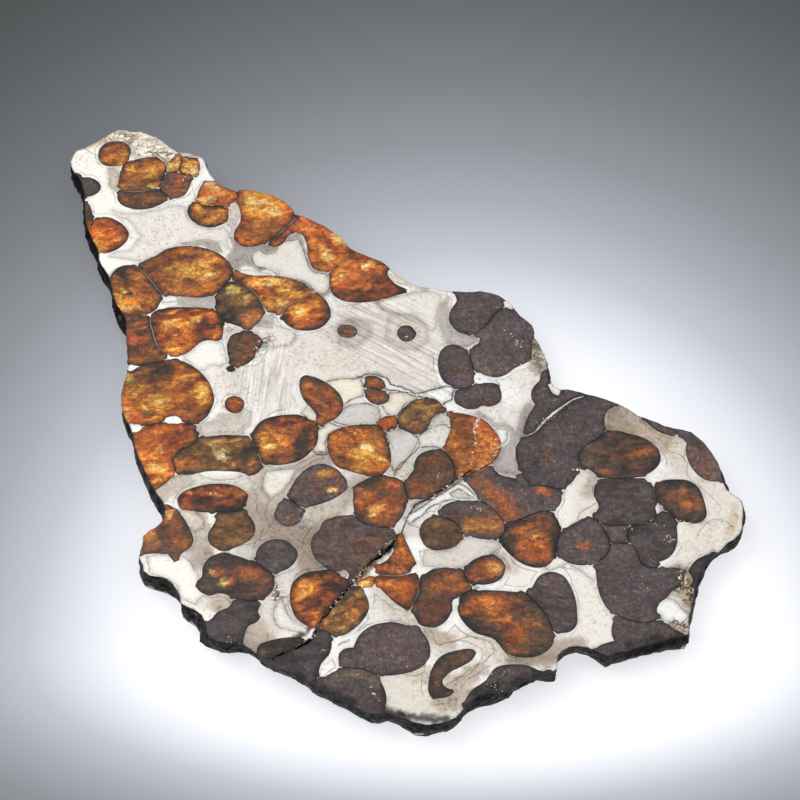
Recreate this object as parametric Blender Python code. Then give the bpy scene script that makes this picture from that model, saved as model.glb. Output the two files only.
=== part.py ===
"""Slice of a pallasite meteorite: olivine crystals held in a network of iron-nickel metal.

The slice is cut flat on both faces. It lies on its underside, with the cut face that shows facing up.
"""
import bpy
import bmesh
from mathutils import Vector
from mathutils.bvhtree import BVHTree
from mathutils.geometry import intersect_point_line

# Sizes in metres
MM = 0.001
THICKNESS = 0.005
MID_HEIGHT = 0.0025
GAP = 0.0003
HALF_GAP = GAP / 2
CUTTER_REACH = 0.001
WELD_SIDE = 0.0015
WELD_BOTTOM = 0.0006
WELD_TOP = 0.0026
CONTACT_REACH = 0.0004
CONTACT_STEP = 0.0003
SHARPEST_MITRE = 0.5
ON_FACE = 0.00001

# Looks: colour, metallic, roughness
LOOKS = {
    "amber": ((0.42, 0.17, 0.03, 1.0), 0.0, 0.18),
    "dark": ((0.07, 0.055, 0.045, 1.0), 0.0, 0.2),
    "metal": ((0.62, 0.58, 0.52, 1.0), 1.0, 0.3),
}

# The edge of the top face, clockwise from the left tip (mm)
OUTER_EDGE_MM = [
    (-58.6, 52), (-57.8, 54.5), (-54, 56.8), (-50.5, 59.6), (-49.3, 59.6), (-47.9, 59.2), (-46.5, 59.3),
    (-45.2, 58.8), (-44.1, 58.1), (-43.2, 57.8), (-39.8, 54.9), (-38.6, 54.3), (-37, 54), (-35.4, 53.4),
    (-34.5, 52.9), (-33, 49.2), (-31.5, 46.9), (-29.2, 45.4), (-27.9, 45.1), (-26.7, 45.4),
    (-25.4, 45.2), (-20.9, 43.9), (-19.6, 43), (-17.7, 41), (-17.1, 39.6), (-15.9, 39.3), (-14.7, 38.7),
    (-12.1, 37.1), (-8.9, 34.4), (-7.1, 31.9), (-5.7, 31), (-1.5, 28.9), (-0.4, 28), (1.3, 25.8),
    (3.8, 24), (5.2, 23.3), (7.9, 23), (9.1, 22.5), (13, 22.2), (15.9, 22.4), (19.1, 21.5), (21.3, 19.4),
    (22.9, 16.9), (24.8, 14.9), (25.1, 12.2), (25.8, 11.1), (27, 7.2), (27.1, 5.9), (26.9, 4.8),
    (27.2, 3.6), (27.5, 2.8), (28.3, 2), (29.3, 1.4), (30.3, 1.5), (36.6, -0.5), (39.4, -1.8),
    (42.1, -3.9), (46.5, -6), (50.9, -7.3), (52.8, -9.4), (54.2, -11.8), (54.7, -13), (55.4, -17.2),
    (55.9, -18.6), (58, -20.6), (58.3, -21.8), (58.2, -23.3), (57.8, -26), (57.2, -27.2), (56.3, -28.2),
    (55.2, -28.8), (53.6, -30.5), (52.6, -31.2), (51.5, -32.3), (50.7, -33.6), (49.6, -36.2),
    (48.8, -38.9), (47.7, -43.3), (47.8, -44.6), (47.6, -45.6), (46.4, -46), (44.9, -46.2),
    (38.8, -48.2), (35.8, -48.9), (34.6, -49.5), (33.7, -49.2), (31.4, -47.9), (30, -47.7),
    (28.6, -47.9), (27.5, -48.5), (26.8, -49.3), (26.6, -51.5), (25.6, -52.3), (22.7, -53.3),
    (18.9, -55.5), (17.4, -55.9), (14.3, -56.3), (13.1, -57), (12.2, -57.9), (10.5, -60.1), (9.2, -60.8),
    (5.9, -61.4), (4.3, -61), (-0.3, -59.3), (-1.6, -59.6), (-3, -59.5), (-7, -57.2), (-11.2, -55.2),
    (-14.8, -52.8), (-18.9, -50.9), (-22.9, -47.4), (-24.2, -47.1), (-25.7, -47.2), (-27.1, -46.8),
    (-28.4, -46), (-29.1, -44.9), (-29.2, -43.6), (-29.8, -42.2), (-31, -41.2), (-33.3, -40),
    (-33.5, -38.8), (-34, -37.6), (-34.8, -36.4), (-35.9, -35.5), (-38.7, -34.9), (-39.6, -34),
    (-39.9, -32.8), (-40.6, -31.5), (-40.1, -28.8), (-40.2, -27.5), (-39.3, -26.5), (-38.1, -25.8),
    (-37.2, -24.8), (-36.8, -22.3), (-37.3, -20.9), (-39.5, -17.5), (-42, -12), (-42.9, -9.2),
    (-43.1, -7.8), (-45, -3.8), (-45.4, -2.3), (-45.7, 0.7), (-44.9, 6.6), (-45.9, 15.5), (-46.3, 16.9),
    (-47.7, 19.2), (-48.2, 20.4), (-49.7, 25.8), (-51.1, 28.1), (-52.3, 32.2), (-53.7, 35),
    (-54.7, 38.1), (-55.2, 41.3), (-55.4, 44.2), (-56.2, 47), (-56.8, 48.3), (-57.8, 49.5)
]

# Each crystal or cluster of crystals grown together: name, look and the outline of each crystal (mm)
CRYSTALS_MM = [
    ("olivine_tip", "amber", [
        [
            (-53.7, 54), (-53.4, 55.3), (-52.4, 56.5), (-50.9, 56.95), (-49.3, 56.7), (-48.1, 55.7),
            (-47.7, 54.2), (-48.1, 52.7), (-49.2, 51.4), (-50.8, 50.9), (-52.4, 51.2), (-53.4, 52.4)
        ],
    ]),
    ("olivine_tip_pair", "amber", [
        [
            (-49.45, 48), (-49.3, 49.8), (-48.5, 51.2), (-44, 53.15), (-42.8, 53.1), (-41.8, 52.1),
            (-41.1, 50.9), (-41.5, 47.6), (-42.1, 46.4), (-43.2, 45.5), (-45, 45.05), (-47.2, 44.95),
            (-48.9, 45.3), (-49.5, 46.5)
        ],
        [
            (-49.5, 43.6), (-49.2, 45.4), (-47, 46.5), (-44, 46.5), (-41.8, 45.2), (-40.3, 43.9),
            (-40.8, 42.5), (-42.2, 41.5), (-44, 40.9), (-45.8, 40.8), (-47.4, 41.2), (-48.8, 42.1)
        ],
    ]),
    ("olivine_tip_cluster", "amber", [
        [
            (-41.2, 50.9), (-39.3, 53.8), (-38.3, 53.5), (-38.3, 51.5), (-38.7, 49.8), (-41.1, 49.2)
        ],
        [
            (-38.5, 53.1), (-35.4, 53), (-34.9, 51.5), (-34.9, 49.5), (-35.5, 48.4), (-36.6, 48.9),
            (-38.4, 49.2)
        ],
        [
            (-41.4, 49), (-39.9, 49.3), (-36, 48.6), (-36.6, 45.6), (-37.4, 44), (-38.6, 43.4),
            (-40, 43.35), (-41.7, 45.7)
        ],
    ]),
    ("olivine_left_edge_top", "dark", [
        [
            (-57.5, 49.2), (-56.2, 48.4), (-54.8, 48.3), (-53.4, 47.5), (-52.6, 46.3), (-52.8, 45),
            (-53.9, 44), (-55.3, 43.6), (-56.5, 44.5), (-57.5, 46.5)
        ],
    ]),
    ("olivine_left_edge_sliver", "dark", [
        [
            (-55.6, 42.7), (-54.6, 42.2), (-53.9, 40.8), (-53.5, 39), (-53.5, 37.6), (-54.3, 35.5),
            (-55.5, 36), (-56.2, 39)
        ],
    ]),
    ("olivine_left_edge_round", "amber", [
        [
            (-54, 37), (-53.3, 38.3), (-52, 39), (-50.4, 38.9), (-48.8, 38), (-47.5, 36.7),
            (-46.8, 35.4), (-47, 33.7), (-48, 32.2), (-49.4, 31.2), (-51, 30.8), (-52, 31.2),
            (-53.5, 33), (-54.6, 35)
        ],
    ]),
    ("olivine_top_edge_pair", "amber", [
        [
            (-35.1, 42.9), (-34.9, 44.7), (-33.9, 47.5), (-32, 47.3), (-30, 46.2), (-27.9, 44.6),
            (-27.9, 43.6), (-29.5, 41.4), (-32.6, 41.5), (-34.2, 41.9)
        ],
        [
            (-36.6, 40.4), (-36.3, 41.8), (-35, 42.4), (-30.6, 41.8), (-29.6, 41), (-29.1, 39.5),
            (-29.3, 38), (-30.4, 37.2), (-31.9, 36.65), (-33.8, 36.9), (-35.2, 37.8), (-36.2, 39.1)
        ],
    ]),
    ("olivine_top_edge_trio", "amber", [
        [
            (-27.2, 45.6), (-27.6, 42.5), (-26.9, 39.4), (-27, 37.8), (-27.8, 36), (-28, 34.6),
            (-27.4, 33.3), (-26.2, 32.4), (-24.6, 32.3), (-22.8, 32.8), (-21.2, 33.9), (-19.6, 35.5),
            (-17.1, 39.3), (-17.2, 41.8), (-19.5, 44.2), (-23, 46)
        ],
        [
            (-17, 40.2), (-17.2, 38.6), (-21.3, 33.9), (-21.7, 32.9), (-20.8, 32.15), (-19.6, 32.5),
            (-18, 34.9), (-16.9, 35.5), (-15.7, 34.9), (-15, 33.2), (-14.3, 29), (-13.6, 27.4),
            (-12, 26.7), (-10.5, 27), (-9.3, 28.3), (-7.6, 29.5), (-6.4, 31), (-7, 33.5), (-10.5, 37),
            (-14, 40)
        ],
        [
            (-6.2, 32.2), (-6.9, 30.6), (-9.7, 27.8), (-10.4, 26.5), (-10.5, 22.9), (-10, 21.6),
            (-8.8, 20.6), (-7, 20), (-5, 19.9), (3, 22), (2.9, 22.9), (1.6, 23.6), (-0.4, 26.3),
            (-0.2, 27.6), (-0.6, 29.2), (-3, 31.5)
        ],
    ]),
    ("olivine_left_oval", "amber", [
        [
            (-49.1, 26.4), (-48.3, 27.5), (-46.9, 28.1), (-45.2, 28), (-43.9, 26.9), (-41.2, 23.3),
            (-40.1, 21.6), (-40.1, 20.3), (-42, 17.8), (-43.6, 17.3), (-45.4, 17.4), (-48.3, 20),
            (-49.5, 22.5), (-49.6, 24.5)
        ],
    ]),
    ("olivine_left_big", "amber", [
        [
            (-44.6, 27.9), (-44, 28.8), (-41.3, 30.5), (-40, 31.7), (-38.4, 32.2), (-30, 30.4),
            (-28.2, 28.2), (-28, 27.1), (-30.6, 21.9), (-32, 21.2), (-36.5, 21.2), (-40.4, 21.5)
        ],
    ]),
    ("olivine_upper_trio", "amber", [
        [
            (-27.7, 26.2), (-27.4, 27), (-25.2, 26.1), (-23.5, 25.8), (-21.4, 25.9), (-17.2, 25.1),
            (-15.2, 24.3), (-13.5, 22.2), (-18.6, 18.2), (-19, 17.2), (-21.2, 18), (-21.8, 18.6),
            (-23.4, 21.6), (-24.6, 23.1), (-26, 24.1), (-27.6, 24.7)
        ],
        [
            (-28.8, 24.2), (-27.2, 24.4), (-25.4, 23.4), (-23.9, 22.1), (-22, 18.7), (-22, 17.3),
            (-23.5, 14.8), (-24.5, 14), (-29, 16.3), (-30.5, 19.2), (-30.5, 21.2), (-30, 22.7)
        ],
        [
            (-13.3, 22), (-12.1, 21.5), (-11.2, 20.4), (-10.5, 18.8), (-10.3, 17), (-11.1, 15.3),
            (-12.6, 14.1), (-14.5, 13.8), (-16.4, 14.1), (-18, 15.2), (-19, 16.6), (-18.6, 17.9),
            (-15.2, 20.8)
        ],
    ]),
    ("olivine_left_pair", "amber", [
        [
            (-41.6, 17), (-40.6, 18), (-39.2, 18.7), (-37.4, 18.9), (-35.4, 18.9), (-30.2, 17.8),
            (-29.2, 16.2), (-28.9, 13.5), (-29, 12), (-29.9, 11.6), (-31.2, 11.8), (-32.4, 11.5),
            (-35.5, 8.7), (-37.2, 8.5), (-38.4, 8.9), (-41.2, 13.7), (-41.6, 15.5)
        ],
        [
            (-46.6, 17.4), (-41.8, 16.8), (-41.5, 14.5), (-38.2, 9), (-38.6, 8.1), (-41.2, 6.8),
            (-43, 6.6), (-44.8, 6.7), (-46.5, 7.5), (-47, 12)
        ],
    ]),
    ("olivine_upper_brown", "dark", [
        [
            (-28, 11.5), (-27.4, 12.9), (-26, 13.5), (-24.2, 13.5), (-22.9, 12.9), (-22, 11.5),
            (-22.2, 10.3), (-23, 9.4), (-23.2, 8.3), (-24.2, 7), (-25.8, 6.2), (-27.2, 6.4),
            (-27.7, 7.9)
        ],
        [
            (-27.8, 5.8), (-27.5, 6.35), (-26.9, 6.2), (-26.65, 5.7), (-27.1, 5.2), (-27.7, 5.25)
        ],
    ]),
    ("olivine_grey_oval", "dark", [
        [
            (-9.1, 14.2), (-8.6, 15), (-7.3, 15.1), (-6.1, 14.7), (-5.6, 13.8), (-6, 12.6), (-7.1, 12.3),
            (-8.4, 12.6), (-9, 13.4)
        ],
    ]),
    ("olivine_small_round", "dark", [
        [
            (1.3, 13.5), (1.6, 14.4), (2.6, 15), (3.6, 14.8), (4.7, 13.4), (4.3, 12.2), (3.4, 11.5),
            (2.3, 11.6), (1.5, 12.5)
        ],
    ]),
    ("olivine_shoulder_trio", "dark", [
        [
            (11.1, 22.6), (11.7, 20.6), (10.4, 17.5), (10.4, 15.8), (11.2, 14.2), (12.6, 13.2),
            (14, 13.05), (15.6, 13.9), (16.8, 15), (18.5, 17.7), (19.6, 18.7), (20.3, 21.5), (17, 23.5),
            (13, 23.5)
        ],
        [
            (14.5, 13.2), (15.6, 12.2), (15.5, 11.4), (14.4, 10.4), (13.9, 9.2), (14.5, 5.6), (17, 4.2),
            (18.6, 4), (20.1, 4.6), (21.2, 5.6), (24.4, 7.5), (25, 12.6), (25.6, 14.5), (22.4, 18.4),
            (19.8, 18.5), (18.7, 18), (16.9, 15.1), (15.8, 14)
        ],
        [
            (8.4, 8), (8.8, 9.4), (9.7, 10.5), (11, 10.9), (12.3, 10.5), (13.2, 9.6), (13.7, 8.7),
            (14.3, 5.6), (14.5, 4.2), (14.3, 3), (13.6, 2), (12.4, 1.6), (11.4, 1.75), (9.2, 3.2),
            (8.6, 4.6)
        ],
    ]),
    ("olivine_shoulder_block", "dark", [
        [
            (11.6, 1.3), (18.1, 2.7), (18.75, 2.4), (19.1, -0.2), (18.8, -1.1), (17.9, -1.8),
            (16.8, -2.1), (15.8, -1.9), (14.8, -2.5), (13.4, -2.6), (12, -2), (11.1, -1.1), (11, -0.1)
        ],
    ]),
    ("olivine_right_big", "dark", [
        [
            (27.6, 5.6), (26.5, 5.4), (25.9, 4.5), (25.7, 3.4), (24.8, 2.3), (24.15, 0.8), (24.2, -0.5),
            (24.7, -1.6), (23.1, -5), (22.7, -7), (22.9, -8), (24.2, -7.2), (26, -5), (30, -1.35),
            (31.2, -0.45), (33, 0.3), (33.5, 1.5), (31.5, 2.2), (30.1, 1.9), (28.8, 0.2), (28.1, 0.5),
            (27.1, 2.4), (27.7, 3.6)
        ],
        [
            (24.5, -7.4), (26.4, -5.1), (30.1, -1.7), (31.4, -0.75), (33.1, 0), (33.5, 1.5), (37, 0.6),
            (39.5, -1.1), (37, -2.9), (35.9, -7.5), (32.2, -10.7), (31.6, -12), (31.8, -13.5),
            (31.6, -15), (30.8, -16.5), (29.6, -17.9), (28.5, -18.6), (26.5, -18), (23.4, -17.7),
            (22.4, -16), (21.1, -11.2), (21.4, -9.8), (22.1, -8.7)
        ],
    ]),
    ("olivine_right_oval", "dark", [
        [
            (36.1, -7.4), (37.2, -7), (38.6, -7), (40, -7.4), (44, -9.3), (44.9, -10.4), (45.4, -11.9),
            (45.2, -13.3), (44.4, -14.5), (42.3, -15.9), (34.9, -16.1), (33, -14.6), (31.8, -14.6),
            (31.6, -12), (33.1, -9.7), (34.6, -8.9)
        ],
    ]),
    ("olivine_right_cluster", "dark", [
        [
            (35.1, -16.7), (38.5, -16.3), (42.1, -16.5), (43.9, -18), (43.1, -24.2), (42, -25.1),
            (37.5, -25.5), (35.4, -25.3), (33.4, -23.9), (34.5, -22), (33.8, -19.4), (34.1, -17.9)
        ],
        [
            (43.3, -24.7), (44.8, -23.1), (46.1, -23), (47, -24.2), (47.15, -25.8), (46.9, -29.2),
            (46.3, -30.6), (45.3, -31.7), (43.8, -32.4), (43.5, -33.5), (41.6, -33.2), (40.7, -32),
            (40.4, -30.5), (39, -28), (39.1, -26.5), (39.6, -25.2)
        ],
        [
            (43.9, -17.95), (44.7, -17.2), (45.7, -16.75), (47, -16.6), (50.1, -17.05), (51, -17.8),
            (52, -20.5), (52.2, -22.2), (52.2, -23.6), (51.6, -24.6), (50.4, -25.1), (49, -25),
            (47.4, -24.4), (46.4, -23.7), (44.2, -20.3), (43.8, -19.2)
        ],
    ]),
    ("olivine_right_wedge", "dark", [
        [
            (34.4, -24.8), (36, -25.2), (39.7, -25.2), (39.3, -27.8), (39.7, -28.9), (36.2, -28.8)
        ],
    ]),
    ("olivine_right_lower_oval", "dark", [
        [
            (33.2, -24), (31.8, -24.2), (30.8, -24.8), (28.2, -26.9), (27.6, -28), (27.4, -30.7),
            (28, -31.8), (29.2, -32.6), (30.6, -33), (32.8, -32.7), (33.8, -32.2), (35.7, -30.4),
            (36.1, -28.9), (35.8, -27.4), (35.2, -26), (34.3, -24.8)
        ],
    ]),
    ("olivine_lower_right_big", "dark", [
        [
            (33.3, -33), (35.6, -30.6), (36.1, -28.9), (37.6, -28.7), (39.1, -28.95), (40.2, -30),
            (40.7, -31.6), (41.8, -33.1), (43.5, -33.5), (47, -33.6), (47.9, -34), (46.9, -36.8),
            (45.5, -37.8), (44.7, -38.9), (43.4, -40), (42.9, -41.2), (43.3, -42.6), (42.2, -43.2),
            (37.8, -42.8), (36.3, -42.1), (35, -41), (34.2, -39.4)
        ],
        [
            (36.1, -42.2), (42.4, -43), (44.7, -43.9), (45.4, -44.7), (46.5, -45.3), (46.9, -46.8),
            (45, -48.5), (40, -49.8), (36, -50.5), (34, -50.2), (33, -49.4), (32.6, -48.3),
            (33.2, -47.75), (35.7, -46.7), (35.4, -45.6), (35.5, -44.2)
        ],
    ]),
    ("olivine_right_edge_wedge", "dark", [
        [
            (53.4, -30.6), (51.2, -31.2), (49.2, -32.7), (48.7, -33.8), (49.1, -36.2), (48.9, -37.6),
            (49.6, -38.2), (52.5, -33.5)
        ],
    ]),
    ("olivine_right_edge", "dark", [
        [
            (48.2, -7.1), (50, -9.4), (49.7, -10.8), (49.75, -12.2), (50.8, -15), (51.7, -16.2),
            (53, -16.9), (56, -17.2), (56.2, -15), (55.3, -11), (52.8, -7.3), (50.4, -5.8), (48.5, -6)
        ],
        [
            (42.2, -3.4), (43.2, -4.9), (45.5, -7.25), (46.7, -7.75), (48.1, -7.7), (48.9, -7.3),
            (49.2, -5.8), (44, -3.6)
        ],
    ]),
    ("olivine_left_amber_big", "amber", [
        [
            (-46.5, 4.6), (-38.4, 7.4), (-36.8, 7.7), (-35.5, 7.3), (-30.1, 1), (-29.8, -0.6),
            (-30.2, -2.6), (-30.9, -4.2), (-32.2, -5.3), (-33.8, -5.5), (-36.3, -3.95), (-37.6, -4.3),
            (-38.7, -5.1), (-42.5, -5.7), (-45.8, -5), (-47, -1), (-47, 2)
        ],
    ]),
    ("olivine_left_long", "amber", [
        [
            (-42.9, -7.4), (-40.8, -6.1), (-39.5, -5.65), (-38, -5.5), (-32.8, -5.9), (-32.2, -8.4),
            (-32.6, -9.2), (-35.6, -11.6), (-36.2, -12.8), (-35.6, -15), (-36, -16), (-38.1, -18.3),
            (-39.2, -19.1), (-41.5, -18), (-44, -13), (-44.8, -8)
        ],
        [
            (-32.4, -8.3), (-26.2, -7.8), (-24.5, -7.95), (-23.5, -8.4), (-21.4, -13.2), (-21.2, -14.2),
            (-22, -15.5), (-23.3, -16), (-24.6, -15.3), (-26.3, -15.1), (-30.7, -15.1), (-32.5, -15.6),
            (-34.2, -15.7), (-35.6, -15.3), (-36.1, -13.9), (-36.1, -12.2), (-35.2, -11)
        ],
    ]),
    ("olivine_middle_streaked", "amber", [
        [
            (-23.2, -8), (-21.9, -5.2), (-17.3, -3.7), (-15.5, -3.7), (-13, -5), (-12.2, -6),
            (-11.95, -7.3), (-12.5, -10.4), (-13.3, -11.4), (-14.3, -12.4), (-15.6, -13.2), (-17, -13.6),
            (-18.8, -13.85), (-21.2, -13.4), (-23.1, -9.4)
        ],
    ]),
    ("olivine_middle_small_round", "amber", [
        [
            (-28, -1.6), (-27.7, -0.4), (-26.7, 0.1), (-25.6, -0.1), (-24.8, -0.9), (-24.7, -2),
            (-25.2, -3.1), (-26.3, -3.5), (-27.4, -2.9)
        ],
    ]),
    ("olivine_middle_wedge", "amber", [
        [
            (-15.4, 3), (-15.1, 4), (-14.3, 4.45), (-13.4, 4.2), (-7.8, -1.5), (-7.8, -2.4),
            (-9.3, -4.7), (-11.3, -5.9), (-12, -5.6), (-12.6, -3.4), (-14.8, -0.3)
        ],
    ]),
    ("olivine_middle_twin", "amber", [
        [
            (-4.2, 4.1), (-3.3, 4.4), (-2.2, 4.2), (-1.2, 3.5), (-0.75, 2.6), (-1.1, 1.7), (-1.7, 1.3),
            (-4.2, 2)
        ],
        [
            (-4.1, 1), (-3.4, 1.7), (-1.8, 1.7), (0, 0.3), (0, -0.5), (-0.6, -1.3), (-1.6, -1.75),
            (-2.9, -1.4), (-3.8, -0.6), (-4.2, 0.2)
        ],
    ]),
    ("olivine_centre_pair", "amber", [
        [
            (-1.7, -4.8), (-0.9, -4.1), (0.1, -3.9), (1, -4.1), (1.4, -4.9), (1.3, -5.7), (0.8, -6.5),
            (-0.1, -6.9), (-1, -6.7), (-1.7, -6.1), (-1.95, -5.4)
        ],
        [
            (1.5, -4.4), (2.6, -2.1), (4.9, -0.5), (6.3, -0.3), (7.6, -0.45), (8.5, -1.1), (9.7, -3),
            (8.4, -3.5), (7.4, -4.4), (6.3, -6.7), (5.3, -7.5), (4.2, -7.7), (3.1, -7.2), (2, -6.5),
            (1.5, -5.6)
        ],
    ]),
    ("olivine_centre_fractured", "amber", [
        [
            (9.7, -3.1), (13, -3.6), (16, -4.9), (17.1, -6), (18.8, -10.4), (17.7, -12.8), (16.6, -13.7),
            (11, -16.7), (10.6, -13.3), (9.3, -11), (10.3, -6.2), (10.2, -4.5)
        ],
        [
            (4.1, -14.6), (4.2, -13.2), (4.9, -11.9), (6, -11.1), (9.1, -11), (10.1, -12), (10.8, -13.7),
            (11, -15.5), (10.6, -16.8), (6, -20.3), (4.6, -20.5), (3.4, -20.3), (2.7, -17.5), (3.2, -16)
        ],
    ]),
    ("olivine_centre_round", "amber", [
        [
            (-6, -18.2), (-5, -17.3), (-1.8, -16.2), (-0.2, -16), (1.2, -16.3), (2.2, -17.3),
            (2.7, -18.9), (2.8, -22.2), (2.3, -23.6), (1.4, -24.9), (0.4, -25.8), (-0.9, -25.9),
            (-4.8, -24.5), (-5.5, -23.3)
        ],
        [
            (-4.9, -24.6), (-6.2, -23.7), (-7.8, -23.6), (-9.4, -24), (-10.8, -24.8), (-11.4, -26.3),
            (-12.3, -27.3), (-12.7, -28.8), (-12.5, -30.5), (-12, -31.7), (-8.8, -33.8), (-7, -34),
            (-6.4, -34.8), (-6.3, -36), (-5.6, -35.9), (-3.9, -34.3), (-2, -31.3), (1, -27.4),
            (0.6, -26.3)
        ],
    ]),
    ("olivine_fissure_orange", "amber", [
        [
            (1.6, -27.3), (0.5, -30.8), (-0.2, -31.9), (-2.2, -33.1), (-2.1, -34.2), (-0.8, -34.6),
            (2.6, -34.6), (4.5, -32.7), (2.3, -27.2)
        ],
        [
            (-2.2, -35.1), (2.9, -34.9), (4.3, -34.6), (4.9, -35.4), (4.2, -39.6), (3.6, -40.7),
            (2.7, -41.2), (1.6, -40.4), (-2.5, -36)
        ],
        [
            (-2.1, -35), (-3.2, -35.3), (-5.2, -36.4), (-4.2, -36.9), (-3, -36.8), (-2.2, -36.3)
        ],
    ]),
    ("olivine_split", "amber", [
        [
            (-15.9, -38.2), (-15.6, -36.5), (-14.7, -35.2), (-13.2, -34.3), (-11.4, -34), (-9.6, -34.2),
            (-8, -34.8), (-7, -35.7), (-6.5, -36.8), (-10.4, -42.2), (-11.6, -44.4), (-13.2, -44),
            (-14.4, -43.1), (-15.8, -40.1)
        ],
        [
            (-6.3, -37.2), (-5.2, -37.1), (-4.1, -37.8), (-3.4, -39.2), (-3.15, -40.8), (-3.6, -42.2),
            (-5.8, -44.9), (-7.2, -45.8), (-8.8, -45.8), (-9.6, -45.2), (-11.6, -44.6), (-10.3, -42),
            (-7.2, -37.9)
        ],
        [
            (-11.6, -44.6), (-10.4, -44.6), (-9.5, -45.4), (-9, -47.6), (-9.3, -49), (-10.6, -50.9),
            (-11.2, -53), (-11.9, -53.8), (-12.2, -54.8), (-13.5, -55.5), (-20, -51.8), (-20.2, -50.3),
            (-17.2, -49.6), (-13.2, -46.8), (-12.2, -46.4)
        ],
        [
            (-20.9, -48.2), (-20.4, -47.4), (-19.4, -46.9), (-16.6, -46.2), (-15.4, -46.1),
            (-13.1, -46.6), (-16.3, -48.9), (-18.6, -49.7), (-19.8, -49.6), (-20.6, -49.2)
        ],
    ]),
    ("olivine_bottom_pair", "dark", [
        [
            (-7.9, -50), (-7.9, -49.2), (-7.2, -48.3), (-5.6, -47.9), (-4.7, -45.8), (-3.9, -44.9),
            (-2.8, -44.1), (-1.4, -43.6), (1.5, -43.5), (2.9, -44), (4.3, -44.1), (5.2, -45), (6.6, -48),
            (6.5, -49.6), (5.7, -50.9), (1.2, -52.8), (-0.4, -52.9), (-4.2, -51.7), (-6.8, -51.4),
            (-7.6, -51)
        ],
        [
            (-11.9, -54.6), (-9.9, -53), (-7.9, -51.9), (-5.3, -51.5), (-3, -52.3), (-2, -52.9),
            (-1.3, -53.8), (-0.4, -56), (-0.3, -57.2), (-0.8, -59.9), (-2, -61), (-5, -60.2), (-12, -56)
        ],
    ]),
    ("olivine_lower_pear", "amber", [
        [
            (4.9, -35.4), (7.2, -33.7), (8.8, -33.4), (12, -33.8), (12.3, -35.2), (13.3, -37.4),
            (12.2, -37.9), (10.3, -39.5), (10, -41.7), (8.5, -43.8), (7.3, -44.4), (6.2, -44.3),
            (4.2, -42.6), (3.8, -41.5), (4.7, -37.8)
        ],
        [
            (12.1, -34.2), (12.6, -33.1), (15.3, -31.2), (17, -30.9), (18.4, -32.1), (18.8, -33.1),
            (18.7, -34.3), (18.3, -35.3), (17.6, -35.9), (14.5, -36.6), (13.5, -36.5), (12.8, -36),
            (12.3, -35.2)
        ],
    ]),
    ("olivine_lower_big", "amber", [
        [
            (11.1, -41.6), (12.3, -38.3), (13.2, -37.8), (14.6, -37.65), (22, -38), (25.3, -42.5),
            (26.15, -45.3), (26.2, -46.7), (25.9, -47.6), (24, -49.25), (22.6, -49.7), (21.2, -49.75),
            (18.8, -49.1), (16.8, -46.6), (13.4, -45.1), (11.7, -43.1)
        ],
        [
            (21.9, -38), (22.9, -37.2), (24.2, -35.1), (25.2, -34.4), (26.3, -34.2), (27.5, -34.5),
            (28.5, -35.3), (29.1, -36.4), (30.15, -42), (30.1, -43.3), (29.7, -44.4), (28.9, -45.1),
            (27.8, -45.4), (26, -45), (25.7, -43.6), (25, -42.3)
        ],
    ]),
    ("olivine_bottom_kidney", "dark", [
        [
            (6.25, -54), (6.9, -51.5), (8, -49.7), (11.2, -48.35), (12.4, -48.15), (13.4, -48.3),
            (13.9, -48.8), (13.6, -49.5), (9, -53), (8.5, -53.7), (8.6, -54.5), (9.3, -55.1),
            (10.1, -55.3), (10.25, -55.8), (9.8, -56.3), (6.9, -57), (6.4, -56.2)
        ],
    ]),
    ("olivine_bottom_edge", "dark", [
        [
            (11.3, -59.8), (12.1, -56.9), (12.9, -55.6), (15.2, -53.7), (16.9, -51.5), (19.8, -50.9),
            (21.4, -51), (24.3, -52.1), (25.9, -52.2), (26.8, -53.2), (22.5, -56), (13, -60.5)
        ],
    ]),
    ("olivine_left_edge_amber", "amber", [
        [
            (-37.6, -21.6), (-36.3, -21.6), (-35.3, -22.3), (-32.3, -26.9), (-31.9, -28.2),
            (-32.2, -29.5), (-33.9, -31.2), (-34.1, -32.1), (-34.8, -32.4), (-36, -30.9), (-39.2, -30.9),
            (-41.2, -31.4), (-41.8, -29.5), (-41.6, -27), (-38, -24)
        ],
    ]),
    ("olivine_left_inner", "dark", [
        [
            (-35, -20.6), (-34.7, -19.7), (-34, -19), (-31.9, -18), (-23.9, -18.9), (-23.3, -19.6),
            (-23.4, -20.6), (-24.4, -22.6), (-26, -22.9), (-32, -22.8), (-33.6, -22.5), (-34.6, -21.7)
        ],
        [
            (-28.4, -22.8), (-24, -22.2), (-22, -25.5), (-21.9, -26.6), (-22.2, -27.6), (-24.3, -29.3),
            (-25.5, -29.9), (-28.3, -29.8), (-29.2, -29), (-29.6, -27.8), (-28.4, -24.2)
        ],
    ]),
    ("olivine_lower_left", "dark", [
        [
            (-31.2, -36.9), (-30.9, -35.9), (-30.3, -35.2), (-30.2, -33.6), (-29.7, -32.2),
            (-28.6, -31.2), (-27.2, -30.9), (-22.4, -32.2), (-18.7, -35.1), (-18.4, -36.5), (-18.9, -38),
            (-20, -39.1), (-21.6, -39.5), (-24.8, -39.1), (-26.2, -38.4), (-27.4, -38.2), (-28.8, -38.6),
            (-30.2, -38)
        ],
        [
            (-21.5, -32), (-21.6, -30.8), (-21.2, -29.7), (-20.3, -28.7), (-19.2, -28.2), (-18, -28.1),
            (-16.8, -28.4), (-15.8, -29.2), (-15, -30.1), (-14.8, -31.1), (-15.1, -32.2), (-15.9, -33.3),
            (-17, -34), (-18.3, -34.4), (-19.4, -34.1), (-21.1, -32.7)
        ],
        [
            (-29.6, -43.7), (-28.3, -42.8), (-27.2, -41.4), (-25.8, -40.8), (-24.2, -38.9), (-21, -39.2),
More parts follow.
